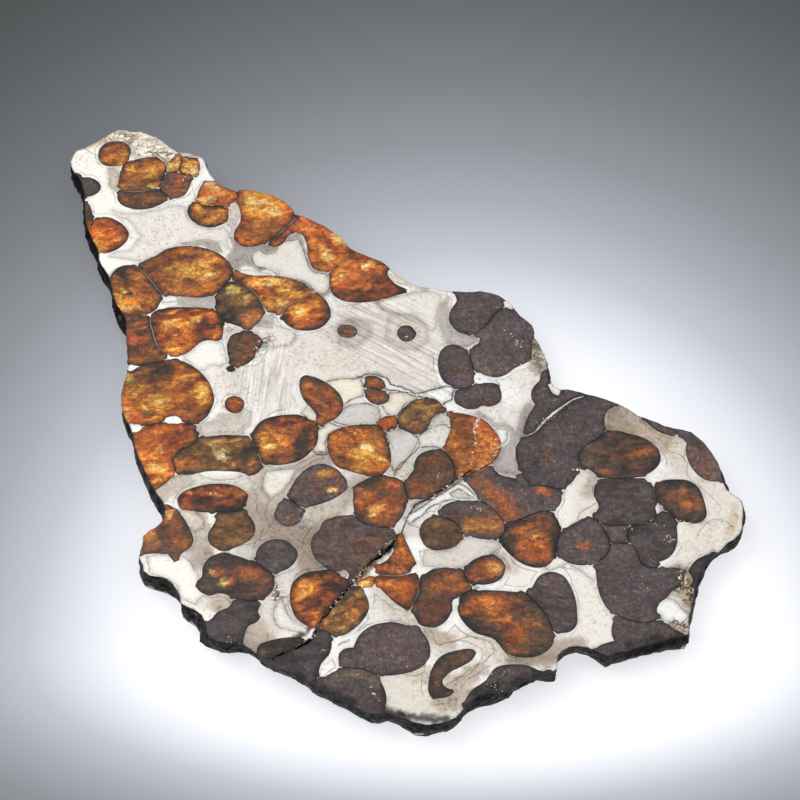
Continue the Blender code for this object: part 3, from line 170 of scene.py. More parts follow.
# Each crystal: a place inside it, its ramp, level, variation, streak angle and how much painted shade darkens its
# rim
STYLES = [
    (-51, 54, "amber", 0.65, 0.2, 20, 0.3), (-45, 49, "amber", 0.58, 0.2, 15, 0.3),
    (-46, 44, "olive", 0.46, 0.14, 5, 0.2), (-40, 51, "olive", 0.88, 0.24, 60, 0.3),
    (-37, 51, "amber", 0.87, 0.26, 10, 0.3), (-39, 46, "dark", 0.65, 0.3, 40, 0.1),
    (-55, 46, "dark", 0.24, 0.1, 0, 0.1), (-55, 38, "brown", 0.38, 0.14, 90, 0.1),
    (-51, 35, "red", 0.62, 0.24, 30, 0.5), (-32, 44, "red", 0.76, 0.22, 10, 0.3),
    (-32, 40, "amber", 0.63, 0.2, 30, 0.4), (-22, 40, "red", 0.69, 0.18, 15, 0.3),
    (-11, 32, "red", 0.72, 0.22, -40, 0.25), (-6, 25, "red", 0.6, 0.24, 35, 0.3),
    (-46, 23, "amber", 0.65, 0.26, -35, 0.35), (-35, 26, "amber", 0.73, 0.18, 15, 0.4),
    (-20, 22, "amber", 0.73, 0.24, 20, 0.35), (-26, 20, "olive", 0.48, 0.26, 30, 0.2),
    (-14, 17, "red", 0.54, 0.22, 25, 0.35), (-36, 14, "red", 0.64, 0.24, 5, 0.35),
    (-44, 11, "brown", 0.55, 0.2, 10, 0.3), (-26, 11, "olive", 0.39, 0.12, 40, 0.1),
    (-27, 6, "dark", 0.02, 0.02, 0, 0), (-8, 14, "dark", 0.56, 0.03, 0, 0.05),
    (3, 14, "dark", 0.32, 0.22, 20, 0.05), (15, 20, "dark", 0.27, 0.07, 0, 0.06),
    (20, 10, "dark", 0.31, 0.08, 0, 0.06), (11, 6, "dark", 0.31, 0.07, 90, 0.06),
    (14, -1, "dark", 0.28, 0.09, 20, 0.06), (27, -1, "dark", 0.25, 0.06, 45, 0.05),
    (27, -12, "dark", 0.24, 0.09, 45, 0.05), (39, -12, "brown", 0.24, 0.17, 12, 0.1),
    (39, -21, "dark", 0.25, 0.06, 0, 0.05), (48, -20, "brown", 0.27, 0.15, 60, 0.15),
    (44, -28, "dark", 0.22, 0.08, 0, 0.05), (32, -29, "dark", 0.32, 0.12, 30, 0.15),
    (37, -26, "dark", 0.36, 0.12, 10, 0.05), (39, -37, "dark", 0.29, 0.06, 0, 0.04),
    (42, -46, "dark", 0.25, 0.07, 0, 0.05), (51, -33, "dark", 0.2, 0.08, 60, 0.05),
    (53, -13, "dark", 0.45, 0.12, 60, 0.05), (47, -6, "dark", 0.36, 0.1, 20, 0.05),
    (-41, 0, "amber", 0.6, 0.24, 15, 0.3), (-40, -11, "red", 0.67, 0.18, 25, 0.25),
    (-27, -12, "olive", 0.57, 0.24, 10, 0.3), (-18, -9, "amber", 0.48, 0.24, 15, 0.35),
    (-26, -2, "red", 0.6, 0.14, 0, 0.3), (-11, -2, "brown", 0.64, 0.2, -35, 0.3),
    (-2, 3, "brown", 0.57, 0.12, 10, 0.25), (-2, 0, "brown", 0.61, 0.14, 10, 0.25),
    (0, -5, "red", 0.6, 0.14, 30, 0.3), (4, -4, "olive", 0.52, 0.24, 20, 0.3),
    (14, -10, "amber", 0.6, 0.16, 80, 0.15), (8, -15, "brown", 0.43, 0.14, 60, 0.1),
    (-2, -21, "brown", 0.54, 0.22, 30, 0.25), (-7, -29, "dark", 0.44, 0.06, 20, 0.05),
    (2, -33, "red", 0.71, 0.2, -30, 0.25), (2, -37, "red", 0.61, 0.16, -25, 0.25),
    (-4, -36, "amber", 0.92, 0.14, 20, 0.2), (-12, -38, "red", 0.68, 0.26, 20, 0.35),
    (-6, -41, "olive", 0.6, 0.26, 35, 0.2), (-14, -52, "dark", 0.22, 0.07, 0, 0.05),
    (-18, -48, "brown", 0.36, 0.22, 10, 0.2), (0, -48, "dark", 0.33, 0.09, 20, 0.06),
    (-5, -56, "dark", 0.22, 0.06, 0, 0.05), (8, -37, "brown", 0.47, 0.16, 20, 0.25),
    (16, -34, "brown", 0.46, 0.18, 30, 0.35), (20, -43, "brown", 0.47, 0.2, 10, 0.4),
    (26, -38, "dark", 0.35, 0.12, 70, 0.06), (9, -51, "brown", 0.34, 0.1, 40, 0.1),
    (19, -54, "dark", 0.24, 0.06, 0, 0.05), (-36, -27, "brown", 0.51, 0.24, 60, 0.2),
    (-31, -20, "red", 0.47, 0.24, 10, 0.25), (-26, -26, "olive", 0.5, 0.12, 0, 0.2),
    (-24, -36, "brown", 0.2, 0.16, 30, 0.1), (-18, -31, "dark", 0.33, 0.08, 0, 0.08),
    (-26, -45, "dark", 0.22, 0.05, 0, 0.05), (-12, -17, "dark", 0.39, 0.18, 30, 0.12),
    (-16, -23, "dark", 0.42, 0.12, 0, 0.2), (-5, -11, "amber", 0.68, 0.22, -22, 0.4),
    (20, -20, "dark", 0.3, 0.12, 20, 0.1), (8, -27, "olive", 0.43, 0.14, 20, 0.1),
    (15, -25, "dark", 0.39, 0.18, 15, 0.1), (23, -28, "brown", 0.4, 0.18, 25, 0.5),
]

# Soft glows and shadows inside the crystals: from, to, reach and how much lighter
GLOWS = [
    (-47.5, 50, -47, 50.4, 0.5, 0.3), (-43.5, 46.3, -42.5, 46.6, 0.5, 0.35), (-43.5, 50.5, -42, 51, 1.4, 0.2),
    (-52, 33, -51, 31.8, 1.2, 0.28), (-25, 42, -21, 41, 1.6, 0.15), (-19, 46, -13, 43, 0.9, 0.2),
    (-36, 27, -33, 27, 1.6, 0.22), (-17, 21.5, -16, 21.8, 1.2, 0.2), (-20.5, 20, -19, 20.4, 1, 0.15),
    (-28, 22.5, -27, 22.6, 0.9, 0.35), (-24, 16.5, -22.5, 17.5, 1.1, 0.35), (-38.5, 15, -34, 15.5, 1.2, 0.2),
    (-32.5, 12.5, -32, 12, 1.3, -0.25), (-9.5, 34, -8, 33, 1, 0.25), (-4, 28, -3.4, 28.4, 0.8, 0.35),
    (-28, -12, -27.5, -11, 1, 0.35), (-2.2, -22.8, -1.6, -22.4, 0.9, 0.24),
    (-4, -10.3, -3.2, -10.5, 0.6, 0.26), (16.5, -33.8, 17.5, -33.6, 1, 0.25), (-39.5, -28, -39, -27, 1.2, 0.3),
    (-36.5, -23.3, -36, -23, 0.8, 0.35), (-28, -34.5, -27.4, -34, 0.7, 0.25), (-22, -34, -20, -34, 1.4, 0.22),
    (-26, -36.2, -25.4, -36.2, 0.6, 0.35), (-11.5, -15.7, -8.6, -15.2, 0.7, 0.35),
    (-9.7, -18.6, -9, -18.8, 0.5, 0.45), (15, -18, 19, -23.5, 1.6, 0.24), (24.4, -18.8, 25.2, -18.6, 0.9, 0.4),
    (13, -25.4, 17.6, -25.8, 1.4, 0.3), (41.5, -11.3, 43, -11, 0.7, 0.3), (35, -15, 38, -16, 0.7, 0.25),
    (48.3, -18.7, 48.8, -18.6, 0.6, 0.28), (49, -21.5, 51, -21.5, 1.2, 0.22),
    (31, -29.2, 32.2, -29.2, 0.7, 0.35), (21.5, -28, 24.5, -30.5, 1.7, 0.2),
    (22, -26.6, 23.5, -26.2, 0.9, 0.12), (14, -40.5, 18, -42, 1.8, 0.06), (-43, 28, -41, 25, 1.6, -0.22),
    (-39, 30, -35, 30.4, 1.5, -0.2), (-29.5, 27.6, -27.6, 24, 1.1, -0.2), (-24, 22.6, -21, 22.8, 0.9, -0.2),
    (-16.5, 18.5, -14.5, 17, 1, 0.1), (-28.6, 17, -26.5, 15, 1.2, -0.2), (-22, 37.2, -17.5, 38.6, 1.3, -0.22),
    (-25.4, 36, -21, 34.4, 1.4, -0.24), (-47.3, 26, -46, 21, 0.8, -0.25), (-30, -10, -22, -9, 1.2, 0.18),
    (-24.5, -14, -23, -9, 1.1, -0.22), (-37, -12, -35.5, -8, 1.2, -0.2), (-43.6, 3.5, -38, 5.5, 1.4, -0.2),
    (-37.8, -2, -36.4, -4, 1.5, 0.2), (-15, -12, -14, -7, 1, -0.25), (-13, -34, -8.8, -36.4, 1.3, -0.22),
    (-16.3, -41, -13, -42.4, 1, -0.24), (-4.6, -39.3, -3.4, -42.5, 1, -0.22),
]

# Paint on the metal and in the crystals: from, to, reach, colour and cover
METAL_PAINT = [
    (-14, 8, 8, 8, 8.5, "e6dfd7", 0.9), (-9, 17, 3, 17, 4.5, "dbd4cc", 0.8),
    (-26, 3, -19, 0, 5, "dfd9d2", 0.85), (-19, -15, -21, -35, 5, "c0bab3", 0.9),
    (-14, -27, -13, -36, 2.6, "b9b2ab", 0.8), (-33, -17, -25, -17, 1.4, "d8d2ca", 0.8),
    (-17, -40, -22, -45, 4, "dcd6ce", 0.8), (16, -34, 33, -42, 8, "f6f0e7", 0.9),
    (20, 3, 20, -14, 6, "eee8e2", 0.9), (24, -4, 23, -13, 1.6, "cbc4c2", 0.7),
    (39, -3, 46, -6, 2.6, "b0a397", 0.9), (47, -8, 51, -16, 3.4, "dcd1c6", 0.85),
    (53, -20, 52, -30, 6, "ece4d9", 0.85), (34, -16, 33, -22, 3, "e6dfd6", 0.8),
    (0, -54, 10, -58, 5, "e0dace", 0.9), (14, -46, 18, -49, 2.5, "d8cec2", 0.8),
    (6, -47, 9, -48, 2, "cdc4b8", 0.7), (-6, -46, 3, -40, 3.5, "e8e3dc", 0.8),
    (-34, -33, -30, -40, 4, "f1ece5", 0.7), (20, -50.3, 27, -49.6, 1.5, "a39280", 0.9),
    (-12.3, -32.2, -7.5, -34.3, 1.1, "b5a59b", 0.9), (-30, -40, -27, -41, 1, "cfc8c0", 0.6),
    (-7, -14.5, -14, -13, 1.3, "d3cdc9", 0.8), (-5, -17, -8, -18, 1.3, "c9c3bf", 0.8),
    (-50, 58, -42, 55, 2.8, "f6ecd8", 0.95), (-55.5, 56, -53, 57.6, 1.1, "d9bfa3", 0.9),
    (-50.5, 51, -50.5, 47, 1.1, "ddcdbd", 0.8), (-36, 54, -34, 51, 0.9, "f4ece0", 0.8),
    (25, 9, 26, 5.5, 1.6, "b3a394", 0.85), (24, 12, 26, 10, 1, "8d8072", 0.8),
    (-21, -24, -16, -28, 2.6, "9c8f85", 0.95), (-13, -26, -12, -34, 1.6, "8d7e74", 0.95),
    (-31.6, -22.4, -30.4, -30, 1.5, "a99c92", 0.9), (36.4, -6.6, 39.6, -8.6, 1.6, "7d6c5c", 0.95),
    (34.4, -16, 33, -19, 1.3, "c0b3a6", 0.9), (17.6, -12.4, 19.6, -15, 1.3, "b5aca8", 0.9),
    (22.6, -6.4, 23, -10.6, 1, "b9b0b0", 0.9), (6.6, -45.6, 9.6, -46.6, 1.4, "bdb0a4", 0.9),
    (12, -53.6, 14.4, -51.6, 1.3, "bfb0a2", 0.9), (48, -37, 48.6, -41.6, 1.1, "5c5248", 0.9),
    (-14, 4, -10.6, 0.6, 2.2, "f2ebe2", 0.9), (-34, 4, -31.6, -1, 1.8, "f6efe6", 0.9),
    (15, 3, 20, 0.4, 2.2, "ffffff", 0.9), (-32, 3, -30, 1, 2, "f2ebe2", 0.8),
    (-10, -12, -14, -14.5, 1.7, "ae9f94", 0.9), (-33, -27, -31.5, -31, 1.5, "b6aaa0", 0.9),
    (-32, -22, -34, -20, 1.4, "c9beb4", 0.9), (-31, -32.6, -29.6, -31.4, 1.4, "a89b90", 0.9),
    (-4.6, -17, -8, -22, 1.7, "b9aca2", 0.9), (-27.5, -40, -25, -39.4, 1.2, "a99c90", 0.9),
    (16, -30.5, 20, -33.4, 1.3, "c9baa9", 0.8), (-23, -46.6, -20.5, -49, 1.3, "7e7064", 0.9),
    (-6, -57.6, 2, -59.6, 0.8, "15110f", 0.95), (2, -59.9, 9, -60.6, 0.7, "15110f", 0.9),
    (33, -49, 37, -48.4, 0.9, "1c1613", 0.9), (-38.5, -20, -34.5, -17, 1.7, "b9ada6", 0.9),
    (-33, -23.5, -31, -26, 1.6, "cfc3b9", 0.8), (-24, -21, -22, -27, 2.4, "ada093", 0.9),
    (-12, -19, -10, -25, 2.6, "bfb3a9", 0.85), (-5, -25.5, -12, -24, 1.6, "c6bbb0", 0.85),
    (-13, -27, -13, -34.5, 1.6, "a2948a", 0.9), (-24, -41.5, -20, -47, 2.2, "b1a192", 0.85),
    (-28, -38, -25, -39.5, 1.6, "c4b9ad", 0.85), (-2, -36.5, 3, -43, 2, "cfc6bb", 0.8),
    (3, -16, 3, -26, 2.4, "cbc5be", 0.8), (-8, -8, -15, -6.5, 1.4, "cbc0b0", 0.8),
    (37, -2.5, 41, -7.5, 1.7, "a39281", 0.9), (35.5, -8, 38, -8.6, 1.5, "978675", 0.9),
    (43, -6.6, 46, -9, 1.4, "c4ae9a", 0.85), (47.5, -34.5, 49.4, -40, 1.6, "94877a", 0.9),
    (26.5, -47.6, 30, -47.4, 1.4, "b5a594", 0.85), (4, -52, 12, -54.6, 1.6, "cfc2b4", 0.8),
    (8, -57.6, 12, -57, 1.3, "bfb1a3", 0.8), (-29, 14, -25.5, 13.4, 1.2, "cfc2b6", 0.8),
    (12, 11, 14, 13, 1.4, "b4a89e", 0.85), (1, -15, 7, -11, 1.6, "cbc4bc", 0.7),
    (26, -15.6, 24.6, -19.6, 1, "c9c0bb", 0.8), (-9.4, -41.4, -4.4, -34.4, 0.75, "4a3426", 0.92),
    (-4.4, -34.4, 1.6, -27.6, 0.9, "6a4a2c", 0.92), (4, -21.8, 12.4, -16, 0.6, "6f6258", 0.85),
    (-9.4, -41.4, -18, -49.6, 0.5, "4a3c32", 0.9), (1, 25.5, 6, 23, 0.9, "cfc5ae", 0.7),
    (46, -35.5, 48.5, -38, 2.2, "bfae92", 0.9), (45.5, -44, 47, -44.8, 1.1, "bfae97", 0.9),
    (57, -22, 56, -27, 0.8, "dccbb2", 0.8), (-2.2, -31.6, 0.4, -29.4, 0.55, "080606", 1),
    (45.2, -21.4, 45, -24.2, 0.9, "b5acb4", 0.9), (46, -40, 47.4, -41.6, 0.8, "f0e2d6", 0.7),
]

OLIVINE_PAINT = [
    (13.2, -3.6, 12, -12.6, 1.6, "6e3a1c", 0.75), (17.2, -6, 14.6, -13.4, 0.5, "ffc070", 0.7),
    (-30, -46.6, -14, -53.4, 0.75, "0e0b0a", 0.95), (-14, -53.8, -6, -57.4, 0.9, "0e0b0a", 0.95),
    (14, -56.2, 25, -52, 0.8, "0e0b0a", 0.95), (38, -48, 47, -45.6, 1, "14100e", 0.95),
    (51, -8.4, 54.6, -14, 0.7, "3a3028", 0.8), (34, -32, 40, -30, 1.5, "5f544b", 0.85),
    (37, -42.6, 41.5, -43.6, 1.2, "5c5147", 0.85), (14.3, 7.5, 17, 5, 0.7, "6a5e51", 0.8),
    (17, 5, 21, 5, 0.6, "6a5e51", 0.8), (15.3, 13.8, 16.6, 12.8, 0.8, "6a5e51", 0.8),
    (26.3, -9.3, 26.4, -9.4, 0.9, "60574e", 0.9), (26.4, -12, 26.8, -12.3, 0.9, "5f4029", 0.8),
    (33.4, -10, 32.8, -14.5, 1, "685c4e", 0.85), (-9.4, -52.8, -5, -52.2, 0.9, "6d5d4d", 0.85),
    (-5, -52.2, -1.6, -53.6, 0.8, "6d5d4d", 0.85), (21.5, -23.6, 27, -22.4, 0.9, "5f5347", 0.85),
    (21.2, -15.4, 23, -17.2, 0.8, "5f5347", 0.8), (15.5, -6, 17.6, -10, 1.7, "cf6c28", 0.9),
    (16.5, -10.6, 14.2, -13.6, 1.3, "dc7630", 0.9), (15.3, -7, 16.5, -9, 0.8, "f2a550", 0.7),
    (44, -45.5, 45, -45.6, 0.8, "5a3226", 0.8), (53.8, -12, 55, -15.5, 1, "6a614e", 0.8),
    (17, -1, 17.6, -1.3, 0.8, "5f3d28", 0.8), (-44.6, 52, -42.6, 51, 1.3, "d87c2c", 0.6),
    (-49, 48, -45.5, 46.6, 1.7, "7a5029", 0.6), (-43.8, 46.5, -43.2, 46.3, 0.4, "fbdc70", 0.8),
    (-38.6, 48.4, -39.2, 44.6, 0.7, "c0602a", 0.85), (-37.6, 53, -35.4, 52.6, 0.5, "30241c", 0.8),
    (-36.6, 50, -34.8, 49.4, 0.6, "f8d8a0", 0.7), (-41, 52, -40, 50, 0.8, "a8843a", 0.6),
    (-53.4, 33, -52, 31.2, 0.9, "f6bc3c", 0.85), (-52.8, 36.6, -50.4, 34, 1.5, "ea6f1c", 0.75),
    (-48.6, 36, -48, 33.4, 0.8, "5a3424", 0.8), (-51.6, 38, -49.6, 37.4, 0.8, "9a4a1e", 0.6),
    (-33, 44.6, -30, 43.6, 1.3, "cf6426", 0.7), (-34.4, 46.8, -31.6, 46, 0.5, "f4cf9a", 0.75),
    (-32.4, 42.2, -28.8, 41.2, 0.5, "5a3a26", 0.7), (-34.6, 41, -34, 40.4, 0.6, "e0a050", 0.7),
    (-31, 40.6, -29, 39.6, 1, "b0562a", 0.6), (-25.6, 44.8, -20, 43.6, 0.6, "f8b830", 0.8),
    (-25.6, 41.8, -24.2, 40.4, 1, "f4c448", 0.75), (-22.5, 41.4, -19.4, 41.6, 1, "e88a24", 0.6),
    (-25, 37, -20.6, 38, 1.4, "8f6130", 0.65), (-27, 43.4, -26.8, 39, 0.5, "4a3420", 0.75),
    (-25, 34.6, -21.4, 35.4, 1, "8a5c2e", 0.6), (-15, 38, -10.4, 35, 1, "dd5f26", 0.7),
    (-12.6, 33.4, -9, 30, 1.2, "c86228", 0.55), (-9.4, 34.6, -7.6, 32.6, 0.6, "fac044", 0.75),
    (-13.4, 29.4, -10.8, 27.4, 1, "96501f", 0.6), (-4.4, 28.2, -3.6, 28.6, 0.4, "fff0b0", 0.85),
    (-8.4, 29, -5.4, 28.6, 0.8, "f09030", 0.6), (-8, 21.8, -1, 22.4, 1, "40302a", 0.75),
    (-2, 25.6, -0.6, 26.4, 0.9, "6a3c26", 0.6), (-9, 24.6, -5, 25.4, 1.1, "ab6228", 0.5),
    (-47.4, 20.4, -42.4, 20.2, 0.6, "ea8c30", 0.7), (-47.4, 22.6, -46.8, 22.2, 0.35, "f4d060", 0.8),
    (-46, 26.4, -42.4, 25.6, 0.8, "8a4e20", 0.6), (-36.6, 28, -33, 27.6, 0.9, "f8c458", 0.6),
    (-38, 24.6, -32.6, 26.4, 0.3, "f6b850", 0.6), (-42, 28.6, -38.6, 26.4, 1.2, "5e3c20", 0.7),
    (-35, 23, -31, 23.8, 0.9, "c2661f", 0.6), (-19, 22.4, -16.4, 21.8, 0.8, "f6b440", 0.7),
    (-23.4, 23.4, -22, 22.4, 0.8, "e86a24", 0.7), (-16.4, 24.2, -14.4, 23, 0.7, "54402c", 0.75),
    (-28.6, 23, -26.8, 22.6, 0.45, "d8cc70", 0.75), (-29, 18, -26.8, 18.4, 1.2, "33291f", 0.7),
    (-24.8, 17, -23, 16.4, 0.7, "cc6a2c", 0.75), (-39.4, 15, -35.6, 15.2, 0.6, "fcb44a", 0.75),
    (-38, 12, -34, 11.4, 1, "c05424", 0.6), (-33.4, 15, -32.6, 15, 0.6, "4a3022", 0.8),
    (-31.4, 14, -29.4, 13, 0.9, "bc5826", 0.6), (-45.4, 13.2, -43.4, 11.4, 0.9, "c4532a", 0.7),
    (-44.6, 8.6, -41, 8.6, 0.8, "6a4024", 0.6), (-15.6, 15.6, -12.4, 16.4, 1, "c4622a", 0.6),
    (-11.6, 19.4, -10.6, 16.4, 0.5, "4a3024", 0.7), (-44.9, 4, -44.3, 3.2, 0.45, "f2e078", 0.85),
    (-42.2, -2.3, -41.4, -2.8, 0.4, "f8d058", 0.8), (-44.6, -2, -42.8, -5, 0.8, "e06c2c", 0.8),
    (-45, 1.6, -42.6, 5, 0.9, "54401f", 0.6), (-40, 1.6, -35, -1.4, 2, "a8621f", 0.5),
    (-32.6, -2, -34.4, -4.6, 0.8, "c86a28", 0.6), (-42.4, -8, -37, -6.8, 0.8, "d0662a", 0.6),
    (-38.6, -10.8, -38, -11.2, 0.4, "f4c46c", 0.75), (-29.4, -10.4, -27.4, -12.4, 0.5, "f4e4a0", 0.75),
    (-27, -11, -24.4, -13, 1, "3c3024", 0.7), (-33, -9.4, -31, -11, 1.2, "4c3e24", 0.6),
    (-36, -14, -33, -14, 0.7, "b45c26", 0.6), (-21, -6, -15, -6.4, 0.6, "cf7030", 0.6),
    (-21.6, -7.8, -19.6, -7.6, 0.5, "f0a850", 0.6), (-14, -8, -14.2, -11, 0.9, "40302a", 0.75),
    (-9.4, -8, -4.6, -8.6, 0.7, "f08030", 0.65), (-4.3, -10.3, -3.5, -10.5, 0.35, "fff4c0", 0.9),
    (-9, -12.4, -3, -13.8, 0.8, "b4742a", 0.6), (15.2, -17.2, 17.6, -19.8, 1.3, "a2562a", 0.7),
    (17.6, -19.4, 20, -23, 1.6, "a85828", 0.65), (25.4, -18.7, 26.3, -18.9, 0.7, "c85e2a", 0.85),
    (13, -25.4, 18.4, -24.8, 0.9, "a85e2a", 0.7), (21.8, -28.8, 25.2, -28, 1, "cc6a2c", 0.85),
    (21.6, -31, 25.4, -31.4, 0.9, "b05a26", 0.75), (22.6, -27.8, 24.6, -27.4, 0.4, "f4a860", 0.75),
    (23.4, -42, 25, -48, 2.2, "54432f", 0.85), (14, -40.6, 19, -40, 0.9, "bc5e26", 0.7),
    (16.8, -42.5, 19, -42.9, 0.5, "f08c40", 0.8), (16, -39.7, 18, -39.5, 0.4, "e8823c", 0.7),
    (-29.4, -36.6, -27, -37.8, 1.4, "463a36", 0.85), (-28.4, -32.4, -25, -32.6, 1, "4a4040", 0.85),
    (-24, -34.2, -21.4, -34.4, 1, "b8622a", 0.75), (-24, -37.4, -21.8, -36.4, 0.9, "40363a", 0.7),
    (-26.8, -36.2, -26, -36.4, 0.4, "fbdc7c", 0.85), (-28.9, -34.6, -28.2, -35, 0.4, "f2b45c", 0.8),
    (-33.2, -19.3, -32.6, -19.3, 0.4, "ea8c44", 0.8), (-28.6, -19.4, -28, -19.4, 0.4, "f8b870", 0.85),
    (-24.9, -19.5, -24.2, -19.6, 0.6, "d8783a", 0.8), (-34.6, -21.6, -33, -22.2, 0.6, "b45e30", 0.6),
    (-40.2, -28, -38.8, -28.4, 0.8, "dca03c", 0.75), (-36, -27, -34.8, -28.6, 1, "b05a28", 0.6),
    (-2.9, -23, -2, -22.6, 0.5, "ffc860", 0.85), (-0.4, -18.6, 0.8, -17.4, 0.6, "c8702c", 0.6),
    (-11.4, -15.4, -10.6, -15.2, 0.5, "c89850", 0.75), (-0.4, -33.6, 2, -33.8, 0.6, "f08a50", 0.75),
    (0.6, -31, 2.6, -32, 0.8, "c05c30", 0.6), (-1, -37, 3, -37.4, 0.8, "c06028", 0.5),
    (-2.2, -31.6, 0.2, -29.5, 0.55, "080606", 1), (15.6, -6, 18, -10.6, 1.5, "e2702a", 0.8),
    (16.4, -11, 17.2, -12, 0.5, "8a3414", 0.7), (11.6, -5, 12.4, -12, 1.4, "a05a26", 0.6),
    (15.6, -12.2, 18, -10.4, 0.4, "ffae60", 0.7), (37.4, -12.6, 41, -11.4, 0.5, "a85c24", 0.6),
    (40, -12, 44, -11, 0.5, "c06a28", 0.6), (13.2, 17.5, 13.6, 17.3, 0.5, "8a8064", 0.9),
    (11.6, 5.6, 12.6, 5, 0.9, "5f4326", 0.7),
]

# Colours of clean metal, of the seam round each crystal and of a light vein
METAL_BRIGHT = "fdf9f1"
METAL_LINE = "2c2420"
VEIN_LIGHT = "a89d95"
# How much painted shade darkens the crystals towards their outlines, and over what distance
RIM_SHADE = 0.13
RIM_REACH = 0.6

